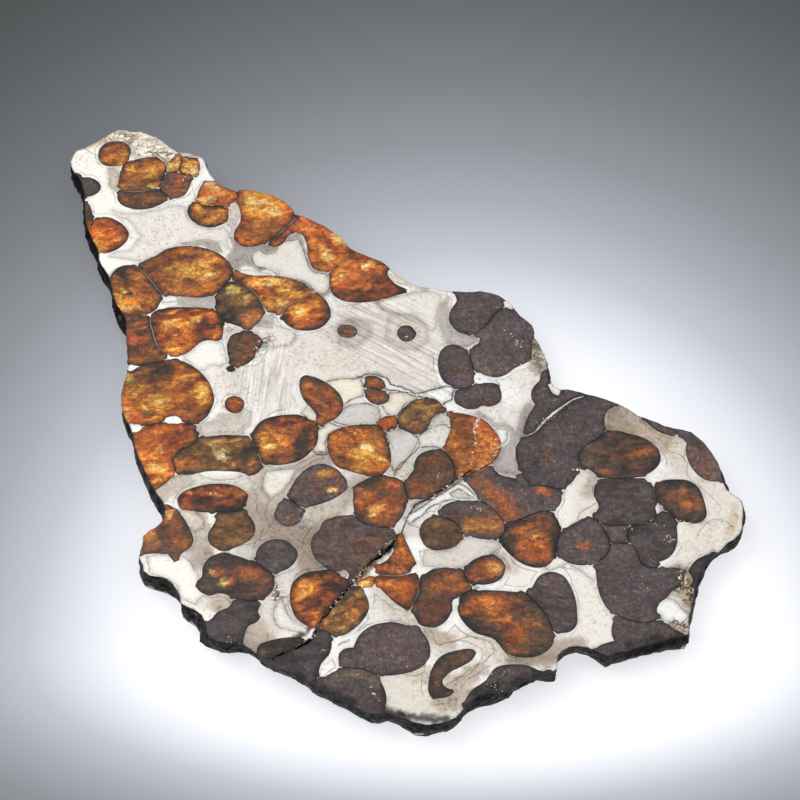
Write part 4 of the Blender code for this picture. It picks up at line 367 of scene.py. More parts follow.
# Patches of the metal with their own shade: fill, outline colour, its strength and the outline
FIELDS = [
    ("efe9e1", "6a5f58", 0.6, [(-50, 40.6), (-48.7, 40), (-45.9, 39.8), (-43.6, 40.2), (-41.2, 40.9),
     (-39.8, 41.6), (-38.2, 41.8), (-36.5, 40.4), (-36.2, 38.7), (-34.3, 36.9), (-31.9, 36.3), (-29.9, 36.6),
     (-28.8, 35.6), (-29.1, 33.4), (-28.4, 31.5), (-30.8, 33.4), (-32.2, 33.9), (-35.1, 33.7), (-35.5, 32.9),
     (-37.8, 32), (-39.7, 31.5), (-42, 30), (-43.9, 28.9), (-45.1, 29.3), (-49.7, 30.1), (-49.1, 30.8),
     (-46.4, 31.5), (-45.4, 33.2), (-44.5, 34.7), (-45.7, 36.4), (-46.8, 38.1), (-48.6, 39.1), (-49.9, 39.9)]),
    ("a9a39d", "4a423e", 0.6, [(-28.8, 34.6), (-27, 34.4), (-25.5, 33.2), (-22, 32.8), (-18.5, 35),
     (-16.2, 35.5), (-15, 32), (-14, 27.5), (-10.3, 26.4), (-10.2, 22.4), (-11.7, 21), (-14, 22.4),
     (-15.5, 24.3), (-19.5, 25.4), (-22, 26.4), (-25.5, 27), (-28.5, 27), (-29, 30), (-28, 32)]),
    ("ddd2c8", "6a5f58", 0.6, [(-29.6, 41.8), (-28.3, 44), (-27.6, 43), (-27.2, 40), (-27.6, 37), (-27.2, 35),
     (-28.8, 34.8), (-28.6, 36), (-29.6, 38), (-30.2, 40)]),
    ("eae5dc", "2c2420", 0.9, [(-19.7, 33.2), (-17.9, 33.7), (-16.3, 34), (-15.3, 31.5), (-14.4, 28.2),
     (-13.4, 26.7), (-11.3, 26.2), (-10.8, 25.2), (-10.8, 22.9), (-11.7, 21.7), (-13.2, 22.4), (-14.5, 24),
     (-16.4, 25), (-18.9, 25.2), (-20.5, 26.7), (-22, 27.4), (-23.4, 27.8), (-24.4, 28.9), (-24.3, 30.5),
     (-23.3, 31.5), (-22, 30.5), (-20.4, 31)]),
    ("fdfbf6", "4f4844", 0.8, [(-26.7, 27.3), (-25.6, 28.2), (-24.4, 27.8), (-23, 26.6), (-21.3, 27.3),
     (-19.8, 26.6), (-19.6, 25.8), (-22.5, 25.4), (-24.8, 25.8), (-26.3, 26.1)]),
    ("b9b3ae", "4a423e", 0.8, [(-37.5, 33.1), (-34.6, 33.6), (-32.4, 33.9), (-30.6, 32.9), (-29.8, 31),
     (-31.6, 31.2), (-33, 32.4), (-35.5, 32.4)]),
    ("ffffff", "5a524e", 0.8, [(-40.3, 21.2), (-38.5, 21.5), (-37.2, 21.2), (-37.3, 20.3), (-39, 20),
     (-40.6, 20.2)]),
    ("b9b2ad", "5a524e", 0.8, [(-37, 20.3), (-36.8, 21), (-33.5, 21.3), (-31.2, 21.5), (-30.5, 20.5),
     (-31, 19), (-32.3, 18), (-34, 18.4), (-36, 19), (-37, 19.5)]),
    ("f7f3ec", "5e564f", 0.5, [(-35.6, 8.5), (-34.1, 9.4), (-33, 11), (-31.6, 11.8), (-29, 11.2), (-28.4, 9.4),
     (-27.9, 7.1), (-29.1, 6.4), (-30.4, 6.6), (-32, 5.5), (-33.1, 5.7), (-34.5, 7.1)]),
    ("efe8e1", "5e564f", 0.6, [(-23.8, 13.5), (-24.8, 15), (-23.5, 15.4), (-21.5, 16.2), (-20.4, 17.2),
     (-20, 15), (-18, 14.3), (-16.3, 14), (-16.6, 12), (-17.3, 10.8), (-19.5, 10.4), (-21, 10), (-22, 11)]),
    ("c6bfb9", "5f5751", 0.7, [(-23.6, 15.6), (-22.6, 16.4), (-21.5, 17), (-20.4, 17.3), (-20.2, 16),
     (-20.6, 14.6), (-22, 14.6), (-23.3, 15)]),
    ("d2cac3", "6d655f", 0.7, [(-32.6, -5.6), (-30, -4.9), (-28.6, -3.3), (-27, -3.6), (-25, -2.2),
     (-23.6, -3.3), (-23.3, -5.5), (-24.5, -6.9), (-25, -7.8), (-28.1, -7.9), (-31.5, -8.3), (-32.3, -7)]),
    ("f0ebe3", "5e564f", 0.6, [(-2.2, 20), (0.1, 21), (3.2, 21.7), (6.7, 22.3), (9, 21.7), (8.9, 19.6),
     (8.2, 17.2), (8, 14.9), (7.2, 13.9), (5.5, 15.8), (3.2, 17.2), (0.9, 17.7), (-1.4, 18.6)]),
    ("d8d0c8", "7a726b", 0.5, [(-0.6, 13.5), (0.1, 17.2), (4, 17.4), (6.3, 14.9), (6.7, 11.6), (4.8, 9.8),
     (1.3, 10.2), (-0.4, 11.6)]),
    ("c6beb6", "8f8780", 0.4, [(-9.4, 14.9), (-6.7, 16.5), (-3.6, 15.6), (-3.2, 12.5), (-5.8, 10.2),
     (-8.6, 11.4)]),
    ("ffffff", "241d1a", 1, [(-5.6, 4), (-3.5, 4.8), (-0.6, 4), (0.1, 2.5), (2.2, 2), (4.4, 0.7), (6.3, 1.1),
     (8, 1.6), (9.9, 2), (10.9, 1.6), (10.7, -0.7), (8.8, -1.6), (8, -0.7), (6, -0.2), (4.5, 0), (1.6, 1.1),
     (-0.6, 1.6), (-2, 3.8)]),
    ("f3ecd8", "241d1a", 0.9, [(-11.5, 2.7), (-10.4, 3.2), (-5.1, 3.8), (-4.4, 1.2), (-4.6, 0.2), (-6.7, -0.9),
     (-7.9, -2.3), (-8.5, -1.6), (-10.3, 1.1)]),
    ("ede5d2", "241d1a", 0.9, [(-1.4, -1.6), (-0.1, 0.7), (3.1, 0.9), (5, 0.2), (4.5, -0.5), (2.7, -1.6),
     (1.6, -3.4), (0.9, -4.3), (-0.5, -3.4)]),
    ("ebe3d0", "241d1a", 0.8, [(-14.9, -3.4), (-13.7, -1.6), (-12.3, -4), (-12.4, -5.1), (-13.5, -4.8)]),
    ("eee7d6", "241d1a", 0.9, [(-12.2, -7.4), (-10.4, -5.3), (-7.9, -6.1), (-8.5, -6.7), (-10, -7.4),
     (-10.6, -9.2), (-10.4, -11.3), (-12.6, -11)]),
    ("dcd4c3", "241d1a", 0.8, [(6.8, -6), (7.7, -4.2), (9.8, -3.3), (10.3, -3.5), (10.3, -5.6), (7.5, -5.8)]),
    ("d4d0cc", "2c2420", 0.9, [(-9.7, -4.9), (-7.7, -2.3), (-3.9, -1.4), (-1.9, -2.1), (-1.3, -4),
     (-2.3, -5.5), (-5.8, -5.8), (-8, -5.8)]),
    ("d6d1cc", "2c2420", 0.9, [(-0.5, -7.1), (1.6, -6.7), (3.5, -6.9), (4.7, -8.3), (4.5, -9.9), (3.5, -12),
     (1.9, -13.7), (0.8, -15), (-0.1, -12.4), (0, -9.7)]),
    ("e6e1da", "2c2420", 0.9, [(5, -8), (6.8, -6.4), (9.5, -5.8), (10.3, -6.7), (10.4, -9.9), (9.4, -10.8),
     (7.2, -10.2), (5, -10.2)]),
    ("ffffff", "2c2420", 0.9, [(9.4, -18.8), (11.4, -17.5), (12.7, -18.2), (15.1, -20.4), (14.9, -21),
     (9.7, -20.8), (6.7, -22.1), (5, -23.9), (3.4, -25.2), (2.7, -24.1), (5.8, -21.7)]),
    ("dcd6ce", "2c2420", 0.9, [(10, -19.3), (11.5, -18.5), (14, -20.2), (10.4, -20.2)]),
    ("ece6dd", "4a423c", 0.6, [(-20.5, -15), (-18, -14.8), (-15.5, -14.5), (-17, -18), (-19.7, -20.5),
     (-21, -17.5)]),
    ("eee8df", "4a423c", 0.7, [(-18.5, -41.5), (-17.5, -44.5), (-13, -45.5), (-12.8, -44.5), (-15.8, -42.5),
     (-17.2, -39)]),
    ("f4efe7", "3e3632", 0.6, [(-39.4, -31.5), (-36, -31), (-32.6, -32), (-31, -35), (-29.6, -38),
     (-31, -40.2), (-33, -39.2), (-34.6, -36.2), (-38.6, -34.4)]),
    ("ffffff", "4f4844", 0.8, [(42.5, -40.7), (44.4, -39), (46, -39.8), (46.9, -40.9), (48, -42.2),
     (47.5, -43), (46, -43.8), (43.6, -42.8)]),
    ("dcd2c8", "4a423c", 0.6, [(-35.2, -22.8), (-33, -22.6), (-30.6, -24.2), (-30.2, -26), (-32, -26.6),
     (-34, -25)]),
    ("f7f3ec", "5a524e", 0.7, [(24.2, -33), (26.4, -31), (29, -30.8), (31, -30), (33, -31.4), (34, -34),
     (33, -36), (31, -34), (29, -32.6), (26, -34)]),
    ("e2dbd1", "4a423e", 0.7, [(5.7, -30.2), (9.9, -30.2), (11.9, -27.5), (17.6, -28.4), (18.2, -29.7),
     (16, -31.3), (14.5, -32), (12.9, -33.1), (9.5, -33.6), (5.6, -33.1)]),
    ("bab1b3", "7d7474", 0.7, [(15.2, -3), (16.6, -4.2), (18, -5.4), (19.6, -5.2), (20.6, -6.2), (21.3, -7),
     (21.8, -6.2), (22.2, -4.2), (23, -2), (24, -0.8), (24.6, -1.6), (23.6, -3.4), (22.9, -5.6), (22.9, -8.2),
     (21.4, -9.6), (21.2, -11.6), (22, -13.6), (21.8, -15.4), (21.1, -16.2), (20.2, -15.3), (17.6, -15.1),
     (17.4, -13.4), (18.4, -12.2), (18.9, -10.6), (20.2, -9.2), (20.4, -7.4), (19.4, -6.2), (17.6, -6.2),
     (16.6, -5), (15, -3.8)]),
    ("ffffff", "4a423e", 0.8, [(18.2, -6.3), (19.7, -6.8), (19.8, -8.2), (19.1, -9.8), (18.1, -8.6),
     (17.8, -7.2)]),
    ("c3bbb9", "6a625e", 0.5, [(10.2, 21), (8.7, 19.6), (8.5, 15.6), (9.4, 12.6), (11, 10), (13.5, 10.6),
     (15.5, 11.7), (13.6, 13.1), (11.2, 13.4), (10.4, 17)]),
    ("e0cfc0", "4a3e38", 0.8, [(-51.4, 50.4), (-50.6, 50.2), (-49.7, 49), (-49.3, 45.6), (-49.9, 45.1),
     (-50.8, 45.9), (-51.1, 47.8), (-51.4, 49.3)]),
]

# Hairlines: colour, strength, depth, reach to each side and the line
LINES = [
    ("0a0807", 1, 0.3, 0.2, [(13.6, -14.8), (12.2, -15.9), (10.6, -17), (9, -18.5), (6.6, -20.2),
     (4.3, -21.5)]),
    ("0a0807", 0.9, 0.25, 0.16, [(4.3, -21.5), (3.2, -24), (2.3, -26), (1.5, -27.5)]),
    ("0a0807", 1, 0.6, 0.35, [(1.6, -27.4), (0.6, -29), (-0.3, -30.3), (-1.4, -31.4), (-2.8, -32.2)]),
    ("0a0807", 1, 0.35, 0.22, [(-2.8, -32.2), (-4.2, -34.2), (-6.3, -37), (-7.8, -38.9), (-9, -40.6)]),
    ("0a0807", 1, 0.4, 0.26, [(-9, -40.6), (-10.4, -42.6), (-11.5, -44.2), (-12.2, -46.3), (-14.5, -47.9),
     (-16.6, -49), (-18.4, -49.9)]),
    ("1c1512", 1, 0, 0.24, [(0.2, -6.8), (2, -6.6), (3.5, -7.2), (4.8, -8.4), (5.2, -9.8)]),
    ("1c1512", 1, 0, 0.24, [(5.2, -9.8), (4.2, -11.2), (3, -12.6), (1.8, -14.2), (0.9, -15.6)]),
    ("1c1512", 1, 0, 0.24, [(-12.8, -11.2), (-11.6, -11.7), (-10.5, -11.6)]),
    ("2c2420", 0.9, 0, 0.2, [(2.6, -24.4), (3.6, -25.5), (5.2, -26)]),
    ("4a423c", 0.7, 0, 0.17, [(6.5, -44.5), (8, -47.5), (12, -46.2), (15.5, -46.8), (16.5, -49), (12, -52.5),
     (9, -54.5)]),
    ("5e564f", 0.6, 0, 0.17, [(5, -46), (6.6, -49), (5.6, -51.6), (7, -54.6)]),
    ("4a3a30", 0.8, 0, 0.17, [(-56, 55.2), (-54.6, 53.9), (-53, 53.2), (-52.4, 52.2)]),
    ("4a423c", 0.6, 0, 0.17, [(-37, -15.6), (-33, -15.2), (-29, -16.6), (-25, -16.2), (-22.4, -14.4)]),
    ("4a423c", 0.6, 0, 0.17, [(45, -8), (46.6, -10.6), (49.4, -12.6), (49.8, -16), (52.4, -19),
     (54.6, -21.6)]),
    ("8a7a68", 0.7, 0, 0.17, [(50, -28), (52, -25), (54.4, -24.4), (56.2, -25.6)]),
    ("8a7a68", 0.6, 0, 0.17, [(35, -35), (36.4, -38.4), (35.6, -42), (36.6, -45)]),
    ("3e3632", 0.7, 0, 0.17, [(35.2, -16), (33.8, -18.6), (34.2, -21), (31.6, -23), (31, -25.6)]),
]

# Small flecks strewn along a line: from, to, spread, count, size and colour
FLECKS = [
    (15, -4.6, 14.3, -7, 0.35, 34, 0.36, "f6ecdc"), (14.3, -7, 14.4, -9.6, 0.3, 26, 0.34, "f2dcc0"),
    (14.4, -9.6, 13.3, -14.8, 0.45, 30, 0.34, "f4c890"), (18.6, -9.6, 17.2, -12.6, 0.4, 26, 0.34, "f8dcb0"),
    (17.2, -12.6, 14.4, -14.6, 0.5, 22, 0.32, "f8c890"), (24.2, -6.7, 31.8, -0.5, 0.16, 34, 0.36, "5a4f4e"),
    (24.4, -6.5, 28.6, -3.1, 0.7, 16, 0.24, "d8cecc"), (47, -34.6, 48.6, -38.6, 0.9, 26, 0.45, "e8dcc4"),
    (47, -34.6, 48.6, -39.6, 1, 24, 0.4, "241c18"), (46.6, -43.6, 47.4, -44.8, 0.5, 9, 0.35, "3a3028"),
    (15, -5, 18, -12, 1.4, 12, 0.5, "b04a18"), (-46, 50, -42, 46, 1.6, 12, 0.5, "5e3a1c"),
    (17.8, -9, 16.8, -13, 0.7, 8, 0.3, "f2e6cc"), (16, -6, 18, -9, 1, 9, 0.35, "ffd890"),
    (17.9, -9, 15.4, -13.4, 0.4, 10, 0.5, "f8a850"), (12.6, -15.6, 8.8, -18.4, 0.5, 9, 0.35, "efe4cc"),
    (8, -19.6, 4.6, -21.6, 0.5, 7, 0.35, "efe6d2"), (-1.2, -30.8, 0.2, -29.4, 0.4, 9, 0.8, "0a0807"),
    (-4, -33.4, -5.6, -35.6, 0.6, 7, 0.4, "f0a840"), (-0.4, -29.3, -2.2, -31, 0.5, 6, 0.35, "f3dcb4"),
    (-3.4, -33.4, -6.6, -37, 0.5, 14, 0.34, "f0b868"), (-3.2, -33, -6, -36.2, 0.7, 8, 0.35, "fff2dc"),
    (-7, -37.9, -9.4, -40.8, 0.5, 9, 0.4, "f4e3bc"), (-11.6, -45, -12.2, -47, 0.8, 5, 0.3, "d9cdbd"),
    (20, 14.5, 22.5, 10, 1.1, 16, 0.28, "e9e6e4"), (19, 16, 24, 9, 2.4, 22, 0.14, "cfc9c6"),
    (24.4, 7, 22, 6.6, 0.6, 6, 0.25, "e2ddd8"), (45.5, -27.6, 46, -28.8, 0.7, 13, 0.4, "dccfb0"),
    (41.5, -31.4, 43, -33, 1.2, 10, 0.18, "cfc9c4"), (38, -25.7, 40, -26, 0.5, 5, 0.35, "b9b2ae"),
    (41, -36.5, 42.5, -38.5, 1, 8, 0.2, "c4bdb8"), (14, -53, 19, -56, 1.4, 12, 0.22, "dcd8d4"),
    (16, -52, 20, -53, 1, 8, 0.18, "cfc9c4"), (-2, -49.5, 2, -50.4, 0.9, 12, 0.18, "d4cfca"),
    (-3, -54.6, -1.6, -57, 0.4, 5, 0.4, "cfcac6"), (-25.5, -46.4, -22, -47.2, 0.7, 9, 0.3, "dcd6d0"),
    (-12, -48, -9.8, -48.4, 0.5, 4, 0.35, "d9d2c6"), (-20.5, -26.5, -17.5, -24, 1.5, 6, 0.2, "c9c4bc"),
    (-14.5, -22, -14.6, -30.5, 0.5, 6, 0.25, "d4cec6"), (13.5, -21.5, 16, -23, 0.6, 9, 0.3, "dcd2c2"),
    (8, -15.5, 8.6, -16.6, 0.6, 8, 0.3, "d9d0c6"), (30.6, -14.5, 31.4, -15, 0.3, 4, 0.35, "d9d4d0"),
    (43, -24.4, 44.6, -26, 0.8, 7, 0.2, "c6c0bb"), (28, -1.6, 32, -4, 1.5, 9, 0.14, "b9b2ae"),
    (47, -24.8, 50.5, -25, 0.35, 7, 0.35, "dcd2c0"), (22.5, -43, 27, -47, 2.4, 14, 0.16, "b9aa92"),
    (25.5, -34, 29, -44, 1.6, 20, 0.14, "b3a58e"), (-23.4, 9.6, -22.2, 11.4, 0.5, 8, 0.4, "efe9e2"),
    (2, 12.5, 4.8, 12.3, 0.5, 6, 0.3, "e2ddd6"), (38, -14, 44, -10, 1.5, 9, 0.2, "d08a48"),
    (-54, 47, -53.6, 49, 0.5, 4, 0.25, "8a6a52"), (-37.5, 47.4, -36.4, 51, 0.7, 12, 0.4, "f6e8d0"),
    (-38.5, 51.6, -35.6, 50.6, 0.9, 8, 0.35, "f2c890"), (-28, -12, -27.4, -10.6, 0.6, 9, 0.4, "f4ecc0"),
    (-30.5, -19.4, -28.4, -19.2, 0.3, 4, 0.4, "f2dcb0"), (-27.2, -36.3, -26, -36.6, 0.4, 6, 0.35, "f8dc8a"),
    (-28.6, -34.2, -27.6, -34.4, 0.4, 5, 0.35, "e8c080"), (-40.3, -28.5, -39, -26.6, 0.5, 7, 0.45, "f0c458"),
    (-37.4, -24, -36.2, -22.6, 0.4, 5, 0.45, "f8e08a"),
]

# Places where the vein between two crystals is light: middle, reach and width of the vein
LIGHT_VEINS = [
    (-42.5, 24.5, 4, 0.1), (-24, 20, 4, 0.13), (-17, 19.5, 4, 0.13), (-41.5, 13, 4, 0.14), (-8.5, 28, 3, 0.12),
    (-18, 37.5, 3.5, 0.13), (-22.5, -11.5, 3.5, 0.12), (3, -35.5, 4.5, 0.12), (40, -16.4, 4, 0.2),
    (27.4, -4.2, 3, 0.45), (31.4, -1.2, 2.4, 0.22), (24, -7.2, 2.2, 0.22), (-46, 46, 2.4, 0.12),
    (31, -16, 2, 0.14),
]

# Parts of the metal with fine parallel lines: from, to, reach, angle, fineness and depth
LINED = [
    (-6, 17, 9, 5, 7, -33, 1, 0.2), (-22, 9, -21, -2, 4.6, 84, 1, 0.18),
]

# Parts of the metal that are cracked and crumbly: from, to and reach
CRUMBLY = [
    (-50, 57.6, -41.5, 54, 2.6), (-41, 55.2, -36, 53.4, 1), (46, -35.5, 48.5, -38, 2),
    (45.5, -44, 47, -44.8, 1), (24.5, 11, 26, 7, 1.4), (-23.5, 9, -21, 12, 1.2),
    (-18.6, -37, -17.4, -39.4, 1.2),
]


# Shades inside the crystals, from dark to light
RAMPS = {
    "amber": [(0.0, "221612"), (0.18, "44291b"), (0.36, "75401f"), (0.54, "aa5a22"), (0.7, "d87c28"),
              (0.84, "fab448"), (1.0, "ffe698")],
    "red": [(0.0, "221512"), (0.18, "45271b"), (0.36, "793a1e"), (0.54, "b05622"), (0.7, "dc7428"),
            (0.84, "fba644"), (1.0, "ffe09c")],
    "olive": [(0.0, "1e1815"), (0.18, "3e3027"), (0.36, "62472f"), (0.54, "886033"), (0.7, "b28240"),
              (0.84, "dcb462"), (1.0, "fae8b0")],
    "brown": [(0.0, "1e1716"), (0.18, "41322d"), (0.36, "634334"), (0.54, "904c25"), (0.7, "c8652a"),
              (0.84, "ee903a"), (1.0, "fde39c")],
    "dark": [(0.0, "201b1d"), (0.18, "4a4043"), (0.36, "5c4f52"), (0.54, "6c4f3e"), (0.7, "985e32"),
             (0.84, "cc8e46"), (1.0, "f4dca8")],
}

# The ramp that each ramp drifts to inside a crystal, and how far at most
SECOND_HUE = {"amber": ("olive", 0.45), "red": ("amber", 0.6), "olive": ("brown", 0.6), "brown": ("olive", 0.3),
              "dark": ("brown", 0.2)}

# Thin wandering lines inside the crystals: scale, width, tone and share. The first two are dark fractures; the
# last, light one is painted glints along fractures.
FRACTURES = [(300.0, 0.014, (0.25, 0.17, 0.13), 1.1), (620.0, 0.024, (0.35, 0.26, 0.2), 1.0),
             (480.0, 0.02, (1.9, 1.9, 1.6), 0.9)]

# A painted pool of light on the floor: brightest at this place, with painted shade by the distance from there (mm)
LIGHT_POOL_MIDDLE = (11.0, -44.0)
FRONT_FALLOFF = 2.9
SIDE_FALLOFF = 0.87
FLOOR_REACH = 200.0
LIGHT_POOL_STEPS = [(56, "f9fbff"), (68, "dddfe6"), (80, "b9bbc3"), (92, "9fa2aa"), (106, "888a90"),
               (122, "73777b"), (138, "63676a"), (154, "55595b"), (172, "484c4d")]
# The floor's size (m), how far under the slice it lies, its own colour (times the painted pool of light) and how
# strongly it glows with the painted pool of light
FLOOR_HALF = 1.6
FLOOR_DROP = 0.0001
FLOOR_TONE = (0.6, 0.6, 0.6, 1)
FLOOR_GLOW = 0.58
SKY_STRENGTH = 0.8
# The lamps: name, place, what each points at, size (m) and power (W)
LAMPS = [("key_softbox", (-0.35, 0.15, 0.55), (0, 0, 0), (0.5, 0.4), 1.2),
         ("front_softbox", (0.2, -0.6, 0.35), (0, -0.03, 0), (0.5, 0.3), 0.25)]
# The camera: place (m), how far it is tipped up from straight down, lens and sensor (mm)
CAMERA_PLACE = (0.0016764, -0.2113157, 0.3184)
CAMERA_TILT = math.radians(34)
CAMERA_LENS = 100
CAMERA_SENSOR = 36
CAMERA_CLIP = (0.01, 10)


# Shapes in the plane

def hash_grid(ix, iy, seed):
    """A fixed random value from -1 to 1 for each grid corner."""
    mixed = (ix * 374761393 + iy * 668265263 + seed * 974634777) & 0xFFFFFFFF
    mixed = ((mixed ^ (mixed >> 13)) * 1274126177) & 0xFFFFFFFF
    return ((mixed ^ (mixed >> 16)) & 0xFFFF) / 32767.5 - 1


def noise(x, y, seed=0):
    """Smooth noise from -1 to 1 with features about one unit wide."""
    ix, iy = np.floor(x).astype(np.int64), np.floor(y).astype(np.int64)
    fx, fy = x - ix, y - iy
    fx, fy = fx * fx * (3 - 2 * fx), fy * fy * (3 - 2 * fy)
    low = hash_grid(ix, iy, seed) * (1 - fx) + hash_grid(ix + 1, iy, seed) * fx
    high = hash_grid(ix, iy + 1, seed) * (1 - fx) + hash_grid(ix + 1, iy + 1, seed) * fx
    return low * (1 - fy) + high * fy


def fractal(x, y, seed=0, octaves=4):
    """Noise in several sizes, from about -1 to 1."""
    total, weight, reach = 0.0, 0.5, 0.0
    for k in range(octaves):
        total = total + weight * noise(x * 2 ** k, y * 2 ** k, seed + 31 * k)
        reach += weight
        weight *= 0.55
    return total / reach * 1.4


def counterclockwise(points):
    x, y = points.T
    return points if np.sum(x * np.roll(y, -1) - y * np.roll(x, -1)) > 0 else points[::-1]


def traced(points):
    """A table's points as places on the slice."""
    return np.array(points, float) + TABLE_ORIGIN


def evenly(points, step):
    """The closed outline with points about a step apart."""
    out = []
    for a, b in zip(points, np.roll(points, -1, 0)):
        count = max(1, round(float(np.hypot(*(b - a))) / step))
        out.extend(a + (b - a) * k / count for k in range(count))
    return np.array(out)


def smooth_outline(points, step):
    """A closed curve through the points that keeps sharp corners sharp."""
    before, after = np.roll(points, 1, 0), np.roll(points, -1, 0)
    coming, going = points - before, after - points
    turn = np.arctan2(coming[:, 0] * going[:, 1] - coming[:, 1] * going[:, 0], (coming * going).sum(1))
    sharp = np.abs(turn) > SHARP_TURN
    len_in, len_out = np.hypot(*coming.T), np.hypot(*going.T)
    along = coming / len_in[:, None] * len_out[:, None] + going / len_out[:, None] * len_in[:, None]
    along /= (len_in + len_out)[:, None]
    out = []
    for i in range(len(points)):
        j = (i + 1) % len(points)
        chord, span = points[j] - points[i], len_out[i]
        start = chord if sharp[i] else along[i] * span
        end = chord if sharp[j] else along[j] * span
        count = max(1, round(span / step))
        for k in range(count):
            t = k / count
            out.append((2 * t ** 3 - 3 * t ** 2 + 1) * points[i] + (t ** 3 - 2 * t ** 2 + t) * start
                       + (3 * t ** 2 - 2 * t ** 3) * points[j] + (t ** 3 - t ** 2) * end)
    return np.array(out)


def outward(points):
    """The outward direction at each point of a counterclockwise outline."""
    along = np.roll(points, -1, 0) - np.roll(points, 1, 0)
    along /= np.maximum(np.hypot(*along.T), 1e-9)[:, None]
    return np.stack([along[:, 1], -along[:, 0]], 1)


def inside(points, outline):
    """Which of the points lie inside the outline."""
    hit = np.zeros(len(points), bool)
    low, high = outline.min(0), outline.max(0)
    if (points < low).any(1).all() or (points > high).any(1).all():
        return hit
    for a, b in zip(outline, np.roll(outline, -1, 0)):
        if a[1] != b[1]:
            across = (a[1] > points[:, 1]) != (b[1] > points[:, 1])
            hit ^= across & (points[:, 0] < a[0] + (b[0] - a[0]) * (points[:, 1] - a[1]) / (b[1] - a[1]))
    return hit


def tree_of(points):
    """A search tree for the nearest of some points in the plane."""
    tree = kdtree.KDTree(len(points))
    for i, point in enumerate(points):
        tree.insert((point[0], point[1], 0.0), i)
    tree.balance()
    return tree


def distances(points, tree):
    return np.array([tree.find((p[0], p[1], 0.0))[2] for p in points])


def top_outlines(node):
    """The outline of each separate patch of a CAD node's top face."""
    mesh = node.data
    places = np.array([vert.co for vert in mesh.vertices]) / MM
    keys = {}
    welded = [keys.setdefault((round(x, 3), round(y, 3), round(z, 3)), len(keys)) for x, y, z in places]
    spots = {new: places[old][:2] for old, new in enumerate(welded)}
    onward = {}
    for face in mesh.polygons:
        corners = [welded[v] for v in face.vertices]
        if all(places[v][2] > THICKNESS - 0.001 for v in face.vertices):
            for a, b in zip(corners, corners[1:] + corners[:1]):
                onward[(a, b)] = True
    rim = {a: b for a, b in onward if (b, a) not in onward}
    loops = []
    while rim:
        start = next(iter(rim))
        loop = [start]
        while rim[loop[-1]] != start:
            loop.append(rim.pop(loop[-1]))
        rim.pop(loop[-1])
        loops.append(np.array([spots[k] for k in loop]))
    return loops


# The plan of the slice: one flat mesh that the metal and the crystals share

def stroke_weight(places, stroke):
    """How strongly a soft stroke from one point to another covers each place."""
    start, end, reach = traced(stroke[:2]), traced(stroke[2:4]), stroke[4]
    along = end - start
    share = np.clip(((places - start) @ along) / max(along @ along, 1e-9), 0, 1)
    apart = np.hypot(*(places - start - share[:, None] * along).T)
    return 1 / (1 + np.exp(np.minimum((apart / reach - 1) * STROKE_EDGE, 700)))


def light_veins(places):
    """How light the veins between crystals are at each place."""
    weight = np.zeros(len(places))
    for x, y, reach, _ in LIGHT_VEINS:
        weight = np.maximum(weight, stroke_weight(places, (x, y, x, y, reach)))
    return weight


def vein_widths(places):
    """How wide the veins between crystals are at each place."""
    widths = np.full(len(places), VEIN)
    for x, y, reach, width in LIGHT_VEINS:
        widths += (width - VEIN) * stroke_weight(places, (x, y, x, y, reach))
    return widths


def wavering(outline, seed, amount):
    """The closed outline with small uneven waves."""
    waver = fractal(outline[:, 0] * 0.8, outline[:, 1] * 0.8, seed) * amount
    return outline + outward(outline) * waver[:, None]


def crystal_outlines(edge):
    """Each crystal's node and outline, and the points of the outlines that lie along narrow veins."""
    curves = []
    for name in sorted(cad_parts):
        if name.startswith("olivine"):
            for loop in top_outlines(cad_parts[name]):
                curves.append((name, smooth_outline(counterclockwise(loop), EDGE_STEP)))
    found, narrow = [], []
    edge_tree = tree_of(edge)
    for k, (name, curve) in enumerate(curves):
        rest = np.concatenate([other for j, (_, other) in enumerate(curves) if j != k])
        close = (rest > curve.min(0) - 2).all(1) & (rest < curve.max(0) + 2).all(1)
        rest = rest[close]
        apart = distances(curve, tree_of(rest)) if len(rest) else np.full(len(curve), 9.0)
        drawn = np.clip((TOUCHING + DRAWN_FADE - apart) / DRAWN_FADE, 0, 1)
        grow = CRYSTAL_GROW + fractal(curve[:, 0] * 0.9, curve[:, 1] * 0.9, 9) * EDGE_WAVER
        grow = grow * (1 - drawn) + (apart - vein_widths(curve)) / 2 * drawn
        grow = grow + PAST_EDGE * np.clip((EDGE_NEAR - distances(curve, edge_tree)) / EDGE_FADE, 0, 1)
        outline = curve + outward(curve) * grow[:, None]
        found.append((name, outline))
        narrow.append(outline[drawn > 0.9])
    return found, np.concatenate(narrow)


def through(points, step):
    """An open curve through the points, about a step between its own."""
    points = np.array(points, float)
    ends = np.concatenate([[2 * points[0] - points[1]], points, [2 * points[-1] - points[-2]]])
    out = []
    for i in range(1, len(ends) - 2):
        p0, p1, p2, p3 = ends[i - 1:i + 3]
        count = max(1, round(float(np.hypot(*(p2 - p1)[:2])) / step))
        for k in range(count):
            t = k / count
            out.append(0.5 * (2 * p1 + (p2 - p0) * t + (2 * p0 - 5 * p1 + 4 * p2 - p3) * t ** 2
                              + (3 * p1 - p0 - 3 * p2 + p3) * t ** 3))
    out.append(points[-1])
    return np.array(out)


